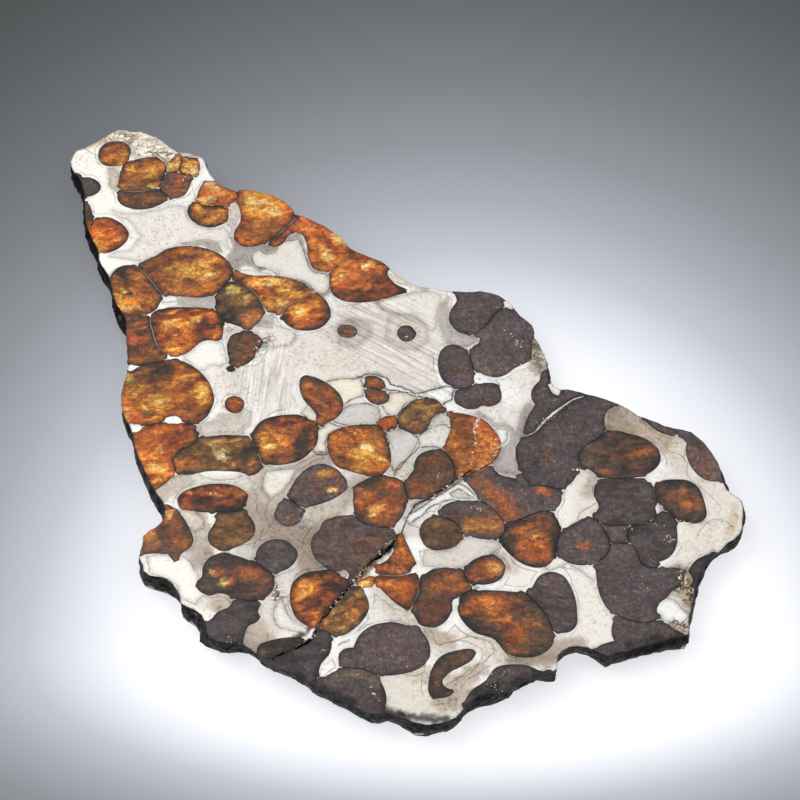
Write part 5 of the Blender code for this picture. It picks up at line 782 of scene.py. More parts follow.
def cut_plan(edge, outlines, marks, hairlines, rows):
    """Cuts the plan into triangles. Gives points, triangles, owners, marks and each point's hairline."""
    points, faces, edges = [], [], []
    for outline in [edge] + outlines + marks:
        faces.append(list(range(len(points), len(points) + len(outline))))
        points.extend(outline)
    tags = [-1] * len(points)
    for number, line in enumerate(hairlines):
        edges.extend((len(points) + k, len(points) + k + 1) for k in range(len(line) - 1))
        points.extend(line)
        tags.extend([number] * len(line))
    points.extend(rows)
    tags.extend([-1] * len(rows))
    result = delaunay_2d_cdt([Vector(p) for p in points], edges, faces, 0, 1e-6, True)
    places = np.array([(p.x, p.y) for p in result[0]])
    on_line = np.array([max([tags[v] for v in source], default=-1) for source in result[3]])
    corners, owners, marked = [], [], []
    for corner, source in zip(result[2], result[5]):
        if 0 in source:
            crystals = [k for k in source if 0 < k <= len(outlines)]
            spots = [k for k in source if k > len(outlines)]
            corners.append(corner)
            owners.append(min(crystals) if crystals else 0)
            marked.append(max(spots) - len(outlines) - 1 if spots else -1)
    return places, np.array(corners), np.array(owners), np.array(marked), on_line


def side_rows(line, reach, closed):
    """Rows of points on both sides of a line."""
    if closed:
        normal = outward(line)
    else:
        along = np.gradient(line, axis=0)
        along /= np.maximum(np.hypot(*along.T), 1e-9)[:, None]
        normal = np.stack([along[:, 1], -along[:, 0]], 1)
    return np.concatenate([line + normal * reach[0], line - normal * reach[1]])


def grid_points(edge, lines):
    """A fine triangular grid inside the outline, clear of every line."""
    low, high = edge.min(0), edge.max(0)
    rows = np.arange(low[1], high[1], GRID_STEP * math.sqrt(3) / 2)
    columns = np.arange(low[0], high[0], GRID_STEP)
    grid = np.array([(x + GRID_STEP / 2 * (j % 2), y) for j, y in enumerate(rows) for x in columns])
    grid += GRID_JITTER * GRID_STEP * np.stack([noise(grid[:, 0] * 9, grid[:, 1] * 9, 1),
                                                noise(grid[:, 0] * 9, grid[:, 1] * 9, 2)], 1)
    grid = grid[inside(grid, edge)]
    return grid[distances(grid, tree_of(np.concatenate(lines))) > CLEAR_OF_EDGE * GRID_STEP]


def rim_edges(corners):
    """The edges of a set of triangles that only one of them has, each in its own direction."""
    seen = set()
    for a, b, c in corners.tolist():
        seen.update(((a, b), (b, c), (c, a)))
    return [(a, b) for a, b in seen if (b, a) not in seen]


class Side:
    """The uneven outer side of the slice."""

    def __init__(self, edge):
        self.tree = tree_of(edge)
        normal = outward(edge)
        for _ in range(4):
            normal = normal + np.roll(normal, 1, 0) + np.roll(normal, -1, 0)
            normal /= np.hypot(*normal.T)[:, None]
        self.normal = normal
        span = np.hypot(*(np.roll(edge, -1, 0) - edge).T)
        length = span.sum()
        run = np.concatenate([[0], np.cumsum(span)[:-1]])
        anchors = []
        for x, y, foot, middle in SIDE:
            index = self.tree.find((x + TABLE_ORIGIN[0], y + TABLE_ORIGIN[1], 0.0))[1]
            anchors.append((run[index], foot, middle))
        anchors = np.array(sorted(anchors))
        foot = np.interp(run, anchors[:, 0], anchors[:, 1], period=length)
        middle = np.interp(run, anchors[:, 0], anchors[:, 2], period=length)
        self.rings = []
        for height, rough in SIDE_RINGS:
            down = 2 * (1 - height / THICKNESS)
            stand = middle * down if down < 1 else middle * (2 - down) + foot * (down - 1)
            level = np.full(len(run), float(height))
            bumps = fractal(run * 0.75, level * 0.9, 77) + 0.45 * noise(run * 2.3, level * 2.7, 78)
            self.rings.append(stand + rough * SIDE_ROUGH * bumps)

    def column(self, place, share):
        """The points down the side below a place near the top edge, which follow it by a share."""
        index = self.tree.find((place[0], place[1], 0.0))[1]
        normal = self.normal[index] * share
        return [(place[0] + normal[0] * stand[index], place[1] + normal[1] * stand[index], height)
                for stand, (height, _) in zip(self.rings, SIDE_RINGS)]


def build_piece(name, plan, which, shrink, paint):
    """A closed piece: its triangles on top, its walls, and its coarser triangles underneath."""
    places, side, outer = plan.places, plan.side, plan.outer
    own = np.isin(plan.owners, which)
    top = plan.corners[own]
    rim = rim_edges(top)
    pull = {}
    for a, b in rim:
        if (a, b) not in outer:
            along = places[b] - places[a]
            normal = np.array([along[1], -along[0]]) / max(np.hypot(*along), 1e-9)
            for v in (a, b):
                pull[v] = pull.get(v, 0) + normal
    on_outer = {v for edge in outer for v in edge}
    used = np.unique(top)
    index = {v: i for i, v in enumerate(used.tolist())}
    points = []
    for v in used.tolist():
        spot = places[v]
        if v in pull and v not in on_outer:
            spot = spot - pull[v] / max(np.hypot(*pull[v]), 1e-9) * shrink
        points.append((spot[0], spot[1], THICKNESS - plan.sink[v]))
    columns, low_index = {}, {}
    for a, b in rim:
        for v in (a, b):
            if v in columns:
                continue
            start = index[v]
            if v in on_outer or plan.border[v] < SIDE_DEPTH:
                share = 1.0 if v in on_outer else 1 - plan.border[v] / SIDE_DEPTH
                rest = side.column(points[start], share)[1:]
            else:
                rest = [(points[start][0], points[start][1], 0.0)]
            columns[v] = [start] + list(range(len(points), len(points) + len(rest)))
            points.extend(rest)
            low_index[plan.low_tree.find((places[v][0], places[v][1], 0.0))[1]] = columns[v][-1]
    faces = [[index[v] for v in tri] for tri in top.tolist()]
    kinds = [0] * len(faces)
    shades = top.tolist()
    marks = plan.marked[own].tolist()
    for a, b in rim:
        down_a, down_b = columns[a], columns[b]
        if len(down_a) == len(down_b) > 2:
            for k in range(len(down_a) - 1):
                faces.append([down_a[k + 1], down_b[k + 1], down_b[k], down_a[k]])
                kinds.append(1 if (a, b) in outer else 0)
                shades.append([a, b, b, a])
        else:
            faces.append(down_a + down_b[::-1])
            kinds.append(0)
            shades.append([a] * len(down_a) + [b] * len(down_b))
    for tri in plan.low_corners[np.isin(plan.low_owners, which)].tolist():
        for v in tri:
            if v not in low_index:
                low_index[v] = len(points)
                x, y = plan.low_places[v]
                share = 1 - side.tree.find((x, y, 0.0))[2] / SIDE_DEPTH
                points.append(side.column((x, y), max(share, 0.0))[-1])
        faces.append([low_index[v] for v in tri[::-1]])
        kinds.append(0)
        shades.append([used[0]] * 3)
    marks += [-1] * (len(faces) - len(marks))
    mesh = bpy.data.meshes.new(name)
    mesh.from_pydata([(x * MM, y * MM, z * MM) for x, y, z in points], [], faces)
    mesh.polygons.foreach_set("material_index", kinds)
    sizes = np.array([len(corner) for corner in shades])
    flat = np.concatenate([np.array(corner) for corner in shades])
    face_marks = np.repeat(marks, sizes)
    tint = np.ones((len(flat), 4), np.float32)
    for mark in sorted(set(marks)):
        mine = face_marks == mark
        spots = np.unique(flat[mine])
        lookup = np.zeros((len(places), 3))
        lookup[spots] = paint(spots, mark)
        tint[mine, :3] = lookup[flat[mine]]
    add_colours(mesh, "Tint", "CORNER", tint)
    piece = bpy.data.objects.new(name, mesh)
    bpy.context.scene.collection.objects.link(piece)
    return piece, used


def add_colours(mesh, name, domain, values):
    layer = mesh.color_attributes.new(name, "FLOAT_COLOR", domain)
    layer.data.foreach_set("color", values.astype(np.float32).ravel())


# Colours

def srgb(text):
    """A colour written as six hex digits, as linear values."""
    values = np.array([int(text[k:k + 2], 16) for k in (0, 2, 4)]) / 255
    return np.where(values <= 0.04045, values / 12.92, ((values + 0.055) / 1.055) ** 2.4)


def ramp(name, level):
    """The colours of a ramp at some levels from 0 to 1."""
    at = [place for place, _ in RAMPS[name]]
    colours = np.array([srgb(colour) for _, colour in RAMPS[name]])
    return np.stack([np.interp(level, at, colours[:, k]) for k in range(3)], 1)


def warped(places, amount, scale, seed):
    """The places, moved about by noise so that strokes get natural edges."""
    x, y = places.T / scale
    return places + amount * np.stack([fractal(x, y, seed), fractal(x, y, seed + 7)], 1)


def near_stroke(places, stroke):
    """Whether a soft stroke can reach any of the places."""
    low, high = places.min(0) - TABLE_ORIGIN, places.max(0) - TABLE_ORIGIN
    reach = 2.2 * stroke[4]
    return (max(stroke[0], stroke[2]) > low[0] - reach and min(stroke[0], stroke[2]) < high[0] + reach
            and max(stroke[1], stroke[3]) > low[1] - reach and min(stroke[1], stroke[3]) < high[1] + reach)


def painted(colours, places, strokes, soft, patchy=1.0):
    """The colours with soft strokes painted over them in turn."""
    for stroke in strokes:
        if near_stroke(places, stroke):
            weight = (stroke[6] * stroke_weight(soft, stroke) * patchy)[:, None]
            colours = colours * (1 - weight) + srgb(stroke[5]) * weight
    return colours


def turned(places, angle):
    """The places' distances along and across a direction."""
    turn = math.radians(angle)
    along = places[:, 0] * math.cos(turn) + places[:, 1] * math.sin(turn)
    return along, places[:, 1] * math.cos(turn) - places[:, 0] * math.sin(turn)


def ridges(values, width):
    """One along the lines where smooth noise crosses zero, and nothing elsewhere."""
    return np.exp(-(values / width) ** 2)


def olivine_colours(places, style, rim, border):
    """The colours of one crystal at these places."""
    kind, level, vary, angle, painted_rim_shade = style[2:]
    wavy = warped(places, 0.9, 2.6, 15)
    along, across = turned(wavy, angle)
    streaks = 0.8 * fractal(along * 0.2, across * 0.85, 11, 3) + 0.8 * fractal(along * 0.55, across * 2.0, 12, 3)
    clouds = fractal(places[:, 0] * 0.25, places[:, 1] * 0.25, 13)
    if kind == "dark":
        streaks = 0.35 * streaks + 0.5 * fractal(places[:, 0] * 1.3, places[:, 1] * 1.3, 16, 3)
    value = level + vary * (streaks * 1.05 + clouds * 1.05)
    seams = ridges(fractal(along * 0.3, across * 0.75, 17, 3), 0.06)
    seams = seams * np.clip(0.5 + fractal(along * 0.4, across * 0.4, 18, 2), 0, 1)
    value = value - (0.3 if kind == "dark" else 0.8) * vary * seams
    soft = warped(places, 0.45, 0.9, 41)
    for stroke in GLOWS:
        if near_stroke(places, stroke):
            value = value + stroke[5] * stroke_weight(soft, stroke)
    # Painted shade towards each crystal's outline, where less light comes through it
    waver = rim + 0.25 * fractal(places[:, 0] * 1.1, places[:, 1] * 1.1, 19, 3)
    value = value - (0.6 * painted_rim_shade + RIM_SHADE) * np.exp(-(np.maximum(waver, 0) / RIM_REACH) ** 2)
    value = np.clip(value, 0.0, 1.0)
    second, most = SECOND_HUE[kind]
    other = most * np.clip(0.4 + 1.5 * fractal(along * 0.16, across * 0.3, 14, 3), 0, 1)[:, None]
    colours = ramp(kind, value) * (1 - other) + ramp(second, value) * other
    patchy = np.clip(0.8 + 0.7 * fractal(places[:, 0] * 0.9, places[:, 1] * 0.9, 47, 3), 0, 1)
    colours = painted(colours, places, OLIVINE_PAINT, warped(soft, 0.6, 2.0, 45), patchy)
    outline = np.exp(-(rim / 0.1) ** 2) + 0.7 * np.exp(-(border / 0.15) ** 2)
    return colours * (1 - 0.6 * np.minimum(outline, 1))[:, None]


def metal_colours(places, rim, border, seam, vein, fill):
    """The colours of the metal at these places, which lie in a field with this fill or in none."""
    x, y = places.T
    clean = np.tile(srgb(METAL_BRIGHT), (len(places), 1))
    colours = painted(clean, places, METAL_PAINT, warped(places, 0.45, 0.9, 41))
    if fill is None:
        band = np.clip((swathe_reach(places) - rim) / 0.3, 0, 1) * np.clip((colours[:, 1] - 0.6) / 0.25, 0, 1)
        colours = colours + (1 - colours) * 0.6 * band[:, None]
    else:
        within = np.clip(0.3 + seam / 0.7, 0, 1)[:, None]
        colours = colours * (1 - within) + srgb(fill) * within
    dull = np.clip((0.9 - colours[:, 1]) * 3, 0.06, 1)
    for x1, y1, x2, y2, reach, angle, fineness, depth in LINED:
        along, across = turned(places, angle)
        lines = fractal(along * 0.13 * fineness, across * 1.5 * fineness, 71, 3)
        weight = stroke_weight(warped(places, 0.8, 2.0, 43), (x1, y1, x2, y2, reach))
        colours = colours * (1 + depth * weight * lines)[:, None]
    grey = 0.1 * fractal(x * 0.45, y * 0.45, 61) + 0.13 * fractal(x * 2.1, y * 2.1, 62, 3)
    specks = np.clip(fractal(x * 1.6, y * 1.6, 63, 3) - 0.45, 0, 1)
    contours = ridges(fractal(x * 0.2, y * 0.2, 68, 3), 0.03)
    colours = colours * (1 + dull * (grey - 0.9 * specks - 0.14 * contours))[:, None]
    rusty = dull * np.clip(0.4 + fractal(x * 0.3, y * 0.3, 69, 3), 0, 1)
    colours = colours * (1 - rusty[:, None] * np.array([0.0, 0.05, 0.12]))
    colours = colours * (1 - 0.2 * np.exp(-((seam - 0.25) / 0.35) ** 2))[:, None]
    soft = warped(places, 0.4, 0.8, 44)
    for stroke in CRUMBLY:
        if near_stroke(places, stroke):
            gaps = ridges(fractal(x * 0.75, y * 0.75, 66, 3), 0.15) + ridges(fractal(x * 0.8, y * 0.8, 67, 2), 0.14)
            colours = colours * (1 - 0.22 * stroke_weight(soft, stroke) * np.clip(gaps, 0, 1))[:, None]
    beside = np.exp(-((rim - 0.2) / 0.45) ** 2) * np.clip(0.45 + fractal(x * 0.6, y * 0.6, 64), 0, 1)
    colours = colours * (1 - 0.25 * beside - 0.5 * np.exp(-(border / 0.15) ** 2))[:, None]
    light = (0.9 * vein * light_veins(places))[:, None]
    edge = (rim < 0.02)[:, None]
    line = srgb(METAL_LINE) * (1 - light) + srgb(VEIN_LIGHT) * light
    return colours * (1 - edge) + line * edge


def swathe_reach(places):
    """How far the bright band round the crystals reaches into the metal; below zero there is none."""
    x, y = places.T
    return 0.4 + 1.3 * fractal(x * 0.11, y * 0.11, 91, 2) + 0.3 * fractal(x * 0.5, y * 0.5, 92, 2)


def metal_marks(places, rim, patches):
    """For each place: how near the band's border is, two kinds of fine lines, and how grainy it is."""
    x, y = places.T
    apart = rim - swathe_reach(places)
    apart[np.unique(patches)] = 2.0
    soft = warped(places, 0.8, 2.0, 43)
    lined = [stroke_weight(soft, zone[:5]) for zone in LINED]
    grainy = np.clip(0.5 + fractal(x * 0.12, y * 0.12, 93, 3), 0.15, 1)
    return np.stack([np.clip(0.5 + apart / 4, 0, 1)] + lined + [grainy], 1)


def crumbly_share(places):
    """How much the metal is broken into loose grains at each place."""
    soft = warped(places, 0.4, 0.8, 44)
    return np.clip(sum(stroke_weight(soft, stroke) for stroke in CRUMBLY), 0, 1)


def with_hairlines(colours, places, hair, lines):
    """The colours with the hairlines drawn at the points that lie on them."""
    for number in np.unique(hair[hair >= 0]):
        colour, strength = lines[number][:2]
        mine = hair == number
        x, y = places[mine].T
        weight = strength * np.clip(0.85 + 0.5 * fractal(x * 1.3, y * 1.3, 65), 0, 1)[:, None]
        weight = weight if strength < 1 else np.ones_like(weight)
        colours[mine] = colours[mine] * (1 - weight) + srgb(colour) * weight
    return colours


# Materials

def node_material(name):
    material = bpy.data.materials.new(name)
    material.use_nodes = True
    tree = material.node_tree
    return material, tree, tree.nodes["Principled BSDF"]


def add_node(tree, kind, **values):
    node = tree.nodes.new(kind)
    for key, value in values.items():
        if key in node.inputs:
            node.inputs[key].default_value = value
        else:
            setattr(node, key, value)
    return node


def mix_colours(tree, blend, factor, first, second):
    """A Mix node for colours. A factor or colour may be a socket or a value."""
    mix = tree.nodes.new("ShaderNodeMix")
    mix.data_type = "RGBA"
    mix.blend_type = blend
    for socket, value in ((mix.inputs[0], factor), (mix.inputs[6], first), (mix.inputs[7], second)):
        if isinstance(value, bpy.types.NodeSocket):
            tree.links.new(value, socket)
        else:
            socket.default_value = value
    return mix.outputs[2]


def reader(tree, kind, vector, **values):
    """A node of this kind that reads its place from the vector."""
    node = add_node(tree, kind, **values)
    tree.links.new(vector, node.inputs["Vector"])
    return node


def object_place(tree):
    return tree.nodes.new("ShaderNodeTexCoord").outputs["Object"]


def tone_ramp(tree, source, *steps):
    """A colour ramp through steps of a position and a tone, which is one value or three."""
    node = tree.nodes.new("ShaderNodeValToRGB")
    tree.links.new(source, node.inputs[0])
    elements = node.color_ramp.elements
    while len(elements) < len(steps):
        elements.new(0.5)
    for element, (position, tone) in zip(elements, steps):
        element.position = position
        element.color = (*np.broadcast_to(tone, 3), 1)
    return node.outputs[0]


def grain(tree, scale, detail=3.0, rough=0.5, vector=None):
    """Noise between 0 and 1."""
    vector = object_place(tree) if vector is None else vector
    return reader(tree, "ShaderNodeTexNoise", vector, Scale=scale, Detail=detail, Roughness=rough).outputs["Fac"]


def bump(tree, surface, height, strength, distance):
    node = add_node(tree, "ShaderNodeBump", Strength=strength, Distance=distance)
    tree.links.new(height, node.inputs["Height"])
    tree.links.new(node.outputs[0], surface.inputs["Normal"])


def tint(tree):
    """The colours painted on the mesh."""
    return add_node(tree, "ShaderNodeAttribute", attribute_name="Tint").outputs["Color"]


def olivine_material(name, transmission, facet_share, speck_share, absorb, density):
    """Crystal: the painted colours with fine grain, specks, facets, thin fractures and painted glints along some
    fractures.
    """
    material, tree, surface = node_material(name)
    place = object_place(tree)
    wander = reader(tree, "ShaderNodeTexNoise", place, Scale=520.0, Detail=3.0)
    moved = mix_colours(tree, "MIX", 0.0016, place, wander.outputs["Color"])
    bent = mix_colours(tree, "MIX", 0.0007, place, wander.outputs["Color"])
    fine = grain(tree, 1500.0, 5.0, 0.7, moved)
    shade = tone_ramp(tree, fine, (0.36, (0.42, 0.36, 0.32)), (0.5, (1.02, 1.0, 0.98)),
                      (0.64, (1.72, 1.78, 1.72)))
    colour = mix_colours(tree, "MULTIPLY", 0.7, tint(tree), shade)
    specks = tone_ramp(tree, grain(tree, 2300.0, 4.0, 0.6, moved), (0.56, 1), (0.66, (2.4, 2.3, 2.15)))
    colour = mix_colours(tree, "MULTIPLY", speck_share, colour, specks)
    lean = reader(tree, "ShaderNodeMapping", bent, Rotation=(0, 0, 0.4), Scale=(0.55, 1.3, 1.0)).outputs[0]
    cells = reader(tree, "ShaderNodeTexVoronoi", lean, Scale=780.0)
    facets = tone_ramp(tree, cells.outputs["Color"], (0.2, (0.6, 0.54, 0.48)), (0.5, 1), (0.8, (1.3, 1.36, 1.3)))
    colour = mix_colours(tree, "MULTIPLY", facet_share, colour, facets)
    # Dark fractures, and painted glints where a line's tone is light
    for scale, width, tone, share in FRACTURES:
        flow = grain(tree, scale, 2.0, 0.5, lean)
        line = tone_ramp(tree, flow, (0.5 - width, 1), (0.5, tone), (0.5 + width, 1))
        patchy = tone_ramp(tree, grain(tree, 0.6 * scale, 2.0), (0.46, 0.0), (0.58, share * facet_share))
        colour = mix_colours(tree, "MULTIPLY", patchy, colour, line)
    tree.links.new(colour, surface.inputs["Base Color"])
    surface.inputs["Transmission Weight"].default_value = transmission
    surface.inputs["IOR"].default_value = 1.67
    surface.inputs["Specular IOR Level"].default_value = 0.25
    surface.inputs["Roughness"].default_value = 0.14
    volume = tree.nodes.new("ShaderNodeVolumeAbsorption")
    volume.inputs["Color"].default_value = absorb
    volume.inputs["Density"].default_value = density
    tree.links.new(volume.outputs[0], tree.nodes["Material Output"].inputs["Volume"])
    bump(tree, surface, fine, 0.1, 0.00004)
    return material


def metal_material():
    """Etched metal: the painted colours with fine grain, two kinds of lines, a seam and loose grains."""
    material, tree, surface = node_material("iron_nickel_etched")
    marks = add_node(tree, "ShaderNodeAttribute", attribute_name="Marks")
    split = tree.nodes.new("ShaderNodeSeparateColor")
    tree.links.new(marks.outputs["Color"], split.inputs[0])
    fine = grain(tree, 2600.0, 3.0, 0.6)
    shade = tone_ramp(tree, fine, (0.3, 0.9), (0.5, 1.05), (0.7, 1.1))
    colour = mix_colours(tree, "MULTIPLY", 1.0, tint(tree), shade)
    speckle = tone_ramp(tree, grain(tree, 1700.0, 5.0, 0.75), (0.36, (0.58, 0.54, 0.5)), (0.485, 1))
    colour = mix_colours(tree, "MULTIPLY", marks.outputs["Alpha"], colour, speckle)
    for socket, zone in zip((split.outputs[1], split.outputs[2]), LINED):
        turn = reader(tree, "ShaderNodeMapping", object_place(tree), Rotation=(0, 0, -math.radians(zone[5])))
        squeeze = reader(tree, "ShaderNodeMapping", turn.outputs[0], Scale=(0.05, 1.0, 1.0))
        lines = tone_ramp(tree, grain(tree, 2400.0, 3.0, 0.6, squeeze.outputs[0]),
                          (0.36, 0.68), (0.5, 1.0), (0.64, 1.14))
        colour = mix_colours(tree, "MULTIPLY", socket, colour, lines)
    border = tone_ramp(tree, split.outputs[0], (0.472, 1.0), (0.5, 0.3), (0.528, 1.0))
    broken = tone_ramp(tree, grain(tree, 260.0, 2.0), (0.4, 0.1), (0.55, 0.9))
    colour = mix_colours(tree, "MULTIPLY", broken, colour, border)
    crumbly = add_node(tree, "ShaderNodeAttribute", attribute_name="Broken").outputs["Color"]
    place = object_place(tree)
    wander = reader(tree, "ShaderNodeTexNoise", place, Scale=700.0, Detail=3.0)
    moved = mix_colours(tree, "MIX", 0.0012, place, wander.outputs["Color"])
    lean = reader(tree, "ShaderNodeMapping", moved, Rotation=(0, 0, 0.6), Scale=(0.8, 1.4, 1.0)).outputs[0]
    gaps = reader(tree, "ShaderNodeTexVoronoi", lean, Scale=1000.0, feature="DISTANCE_TO_EDGE")
    grains = reader(tree, "ShaderNodeTexVoronoi", lean, Scale=1000.0)
    gap = tone_ramp(tree, gaps.outputs["Distance"], (0.03, (0.08, 0.07, 0.06)), (0.1, 1))
    tone = tone_ramp(tree, grains.outputs["Color"], (0.22, (0.45, 0.38, 0.3)), (0.36, 1), (0.8, 1.12))
    split_gaps = tone_ramp(tree, grain(tree, 500.0, 2.0), (0.42, 0.25), (0.52, 1.0))
    colour = mix_colours(tree, "MULTIPLY", math_node(tree, "MULTIPLY", crumbly, split_gaps), colour, gap)
    colour = mix_colours(tree, "MULTIPLY", math_node(tree, "MULTIPLY", crumbly, 0.8), colour, tone)
    tree.links.new(colour, surface.inputs["Base Color"])
    surface.inputs["Metallic"].default_value = 0.5
    surface.inputs["Roughness"].default_value = 0.36
    bump(tree, surface, fine, 0.25, 0.00004)
    return material


def crust_material(name, dark, pale, amount, fringe):
    """Rough broken side: black, with brown or bare spots that get more common towards the foot. On the metal's side
    the grey spots are partly bare metal and partly painted glints and sheen.
    """
    material, tree, surface = node_material(name)
    split = tree.nodes.new("ShaderNodeSeparateXYZ")
    tree.links.new(object_place(tree), split.inputs[0])
    low = math_node(tree, "MAXIMUM", math_node(tree, "SUBTRACT", 1.6 * MM, split.outputs["Z"]), 0.0)
    spots = math_node(tree, "ADD", grain(tree, 420.0, 5.0, 0.6), math_node(tree, "MULTIPLY", low, fringe / MM))
    patches = tone_ramp(tree, spots, (amount, 0.0), (amount + 0.06, 1.0))
    colour = mix_colours(tree, "MIX", patches, dark, pale)
    tree.links.new(colour, surface.inputs["Base Color"])
    surface.inputs["Specular IOR Level"].default_value = 0.05
    surface.inputs["Roughness"].default_value = 0.42
    bump(tree, surface, grain(tree, 900.0, 6.0, 0.65), 0.8, 0.0003)
    return material


def math_node(tree, operation, first, second=0.0):
    """A Math node. Each operand may be a socket or a value."""
    node = tree.nodes.new("ShaderNodeMath")
    node.operation = operation
    for socket, value in zip(node.inputs, (first, second)):
        if isinstance(value, bpy.types.NodeSocket):
            tree.links.new(value, socket)
        else:
            socket.default_value = value
    return node.outputs[0]


def floor_material():
    """Sweep of paper with a painted pool of light: white in front, painted shade greying it towards its back and
    sides, and a glow in the same painted light.
    """
    material, tree, surface = node_material("studio_sweep")
    split = tree.nodes.new("ShaderNodeSeparateXYZ")
    tree.links.new(object_place(tree), split.inputs[0])
    across = math_node(tree, "SUBTRACT", split.outputs["X"], LIGHT_POOL_MIDDLE[0] * MM)
    along = math_node(tree, "SUBTRACT", split.outputs["Y"], LIGHT_POOL_MIDDLE[1] * MM)
    along = math_node(tree, "MAXIMUM", along, math_node(tree, "MULTIPLY", along, -FRONT_FALLOFF))
    across = math_node(tree, "DIVIDE", across, SIDE_FALLOFF)
    square = math_node(tree, "ADD", math_node(tree, "MULTIPLY", across, across),
                       math_node(tree, "MULTIPLY", along, along))
    away = math_node(tree, "DIVIDE", math_node(tree, "SQRT", square), FLOOR_REACH * MM)
    shade = tone_ramp(tree, away, *[(at / FLOOR_REACH, srgb(colour)) for at, colour in LIGHT_POOL_STEPS])
    tree.links.new(mix_colours(tree, "MULTIPLY", 1.0, shade, FLOOR_TONE), surface.inputs["Base Color"])
    # The floor glows with the painted pool of light, though it is no lamp
    tree.links.new(shade, surface.inputs["Emission Color"])
    surface.inputs["Emission Strength"].default_value = FLOOR_GLOW
    surface.inputs["Roughness"].default_value = 0.9
    surface.inputs["Specular IOR Level"].default_value = 0.1
    return material


# The scene

def fleck_outlines():
    """Small uneven flecks, each with its colour."""
    chance = random.Random(7)
    found = []
    for x1, y1, x2, y2, spread, count, size, colour in FLECKS:
        for _ in range(count):
            share = chance.random()
            x = x1 + (x2 - x1) * share + chance.gauss(0, 0.5) * spread + TABLE_ORIGIN[0]
            y = y1 + (y2 - y1) * share + chance.gauss(0, 0.5) * spread + TABLE_ORIGIN[1]
            reach = size * chance.uniform(0.35, 1) / 2
            lean = chance.uniform(0, math.pi)
            corners = []
            for k in range(6):
                turn = math.pi * k / 3
                radius = reach * chance.uniform(0.6, 1.2)
                across = math.cos(turn) * radius * 1.5
                down = math.sin(turn) * radius * 0.8
                corners.append((x + across * math.cos(lean) - down * math.sin(lean),
                                y + across * math.sin(lean) + down * math.cos(lean)))
            found.append((np.array(corners), srgb(colour) * chance.uniform(0.75, 1.1)))
    return found


def hairlines():
    """The fields' outlines and the drawn lines: colour, strength, depth, reach to each side and points."""
    found = []
    for _, colour, strength, points in FIELDS:
        outline = wavering(smooth_outline(counterclockwise(traced(points)), EDGE_STEP), 21, FIELD_WAVER)
        reach = DARK_LINE_SIDE if strength > DARK_LINE_STRENGTH else HAIRLINE_SIDE
        found.append((colour, strength, 0.0, reach, np.concatenate([outline, outline[:1]])))
    for colour, strength, depth, reach, points in LINES:
        line = through(traced(points), EDGE_STEP)
        waver = np.stack([fractal(line[:, 0], line[:, 1], 22), fractal(line[:, 0], line[:, 1], 23)], 1)
        found.append((colour, strength, depth, reach, line + LINE_WAVER * waver))
    return found


def make_plan(edge, outlines, narrow, lines, flecks):
    """The slice's plan cut into triangles, with what each point and triangle is and how far it is from what."""
    hairs = [line[4] for line in lines]
    marks = [hair[:-1] for hair in hairs[:len(FIELDS)]] + [outline for outline, _ in flecks]
    rows = [side_rows(outline, (ROW_OUTSIDE, ROW_INSIDE), True) for outline in outlines]
    rows += [side_rows(line[4], (line[3], line[3]), False) for line in lines]
    rows = np.concatenate(rows)
    rows = rows[inside(rows, edge)]
    rows = rows[distances(rows, tree_of(np.concatenate([edge] + outlines + hairs))) > ROW_CLEAR]
    grid = grid_points(edge, [edge] + outlines + hairs + [rows])
    places, corners, owners, marked, hair = cut_plan(edge, outlines, marks, hairs, np.concatenate([rows, grid]))
    low_places, low_corners, low_owners = cut_plan(edge, outlines, [], [], [])[:3]
    rim = distances(places, tree_of(np.concatenate(outlines)))
    border = distances(places, tree_of(edge))
    depth = np.array([line[2] for line in lines] + [0.0])[hair]
    return SimpleNamespace(
        places=places, corners=corners, owners=owners, marked=marked, hair=hair,
        low_places=low_places, low_corners=low_corners, low_owners=low_owners, low_tree=tree_of(low_places),
        side=Side(edge), outer=set(rim_edges(corners)), rim=rim, border=border,
        seam=distances(places, tree_of(np.concatenate(hairs[:len(FIELDS)]))),
        vein=distances(places, tree_of(narrow)) < VEIN_REACH,
        depth=depth, sink=depth * (border > SINK_FROM_EDGE) * (rim > SINK_FROM_RIM))


def make_metal(plan, lines, flecks):
    places = plan.places
    surface = metal_material()
    # Grey spots on the metal's side: partly bare metal, partly painted glints and sheen
    broken_side = crust_material("broken_metal_side", (0.007, 0.006, 0.006, 1), (0.36, 0.35, 0.33, 1), 0.66, 0.13)

    def paint(spots, mark):
        if mark >= len(FIELDS):
            return flecks[mark - len(FIELDS)][1]
        fill = FIELDS[mark][0] if mark >= 0 else None
        colours = metal_colours(places[spots], plan.rim[spots], plan.border[spots], plan.seam[spots],
                                plan.vein[spots], fill)
        return with_hairlines(colours, places[spots], plan.hair[spots], lines)

    piece, used = build_piece("metal_network_surface", plan, [0], 0.0, paint)
    in_fields = plan.corners[(plan.marked >= 0) & (plan.marked < len(FIELDS))]
    marks = np.tile([1.0, 0.0, 0.0, 0.0], (len(piece.data.vertices), 1))
    marks[:len(used)] = metal_marks(places, plan.rim, in_fields)[used]
    add_colours(piece.data, "Marks", "POINT", marks)
    broken = np.tile([0.0, 0.0, 0.0, 1.0], (len(piece.data.vertices), 1))
    broken[:len(used), :3] = crumbly_share(places[used])[:, None]
    add_colours(piece.data, "Broken", "POINT", broken)
    piece.data.materials.append(surface)
    piece.data.materials.append(broken_side)
    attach(piece, "root")
    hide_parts(*[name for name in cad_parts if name.startswith("metal")])


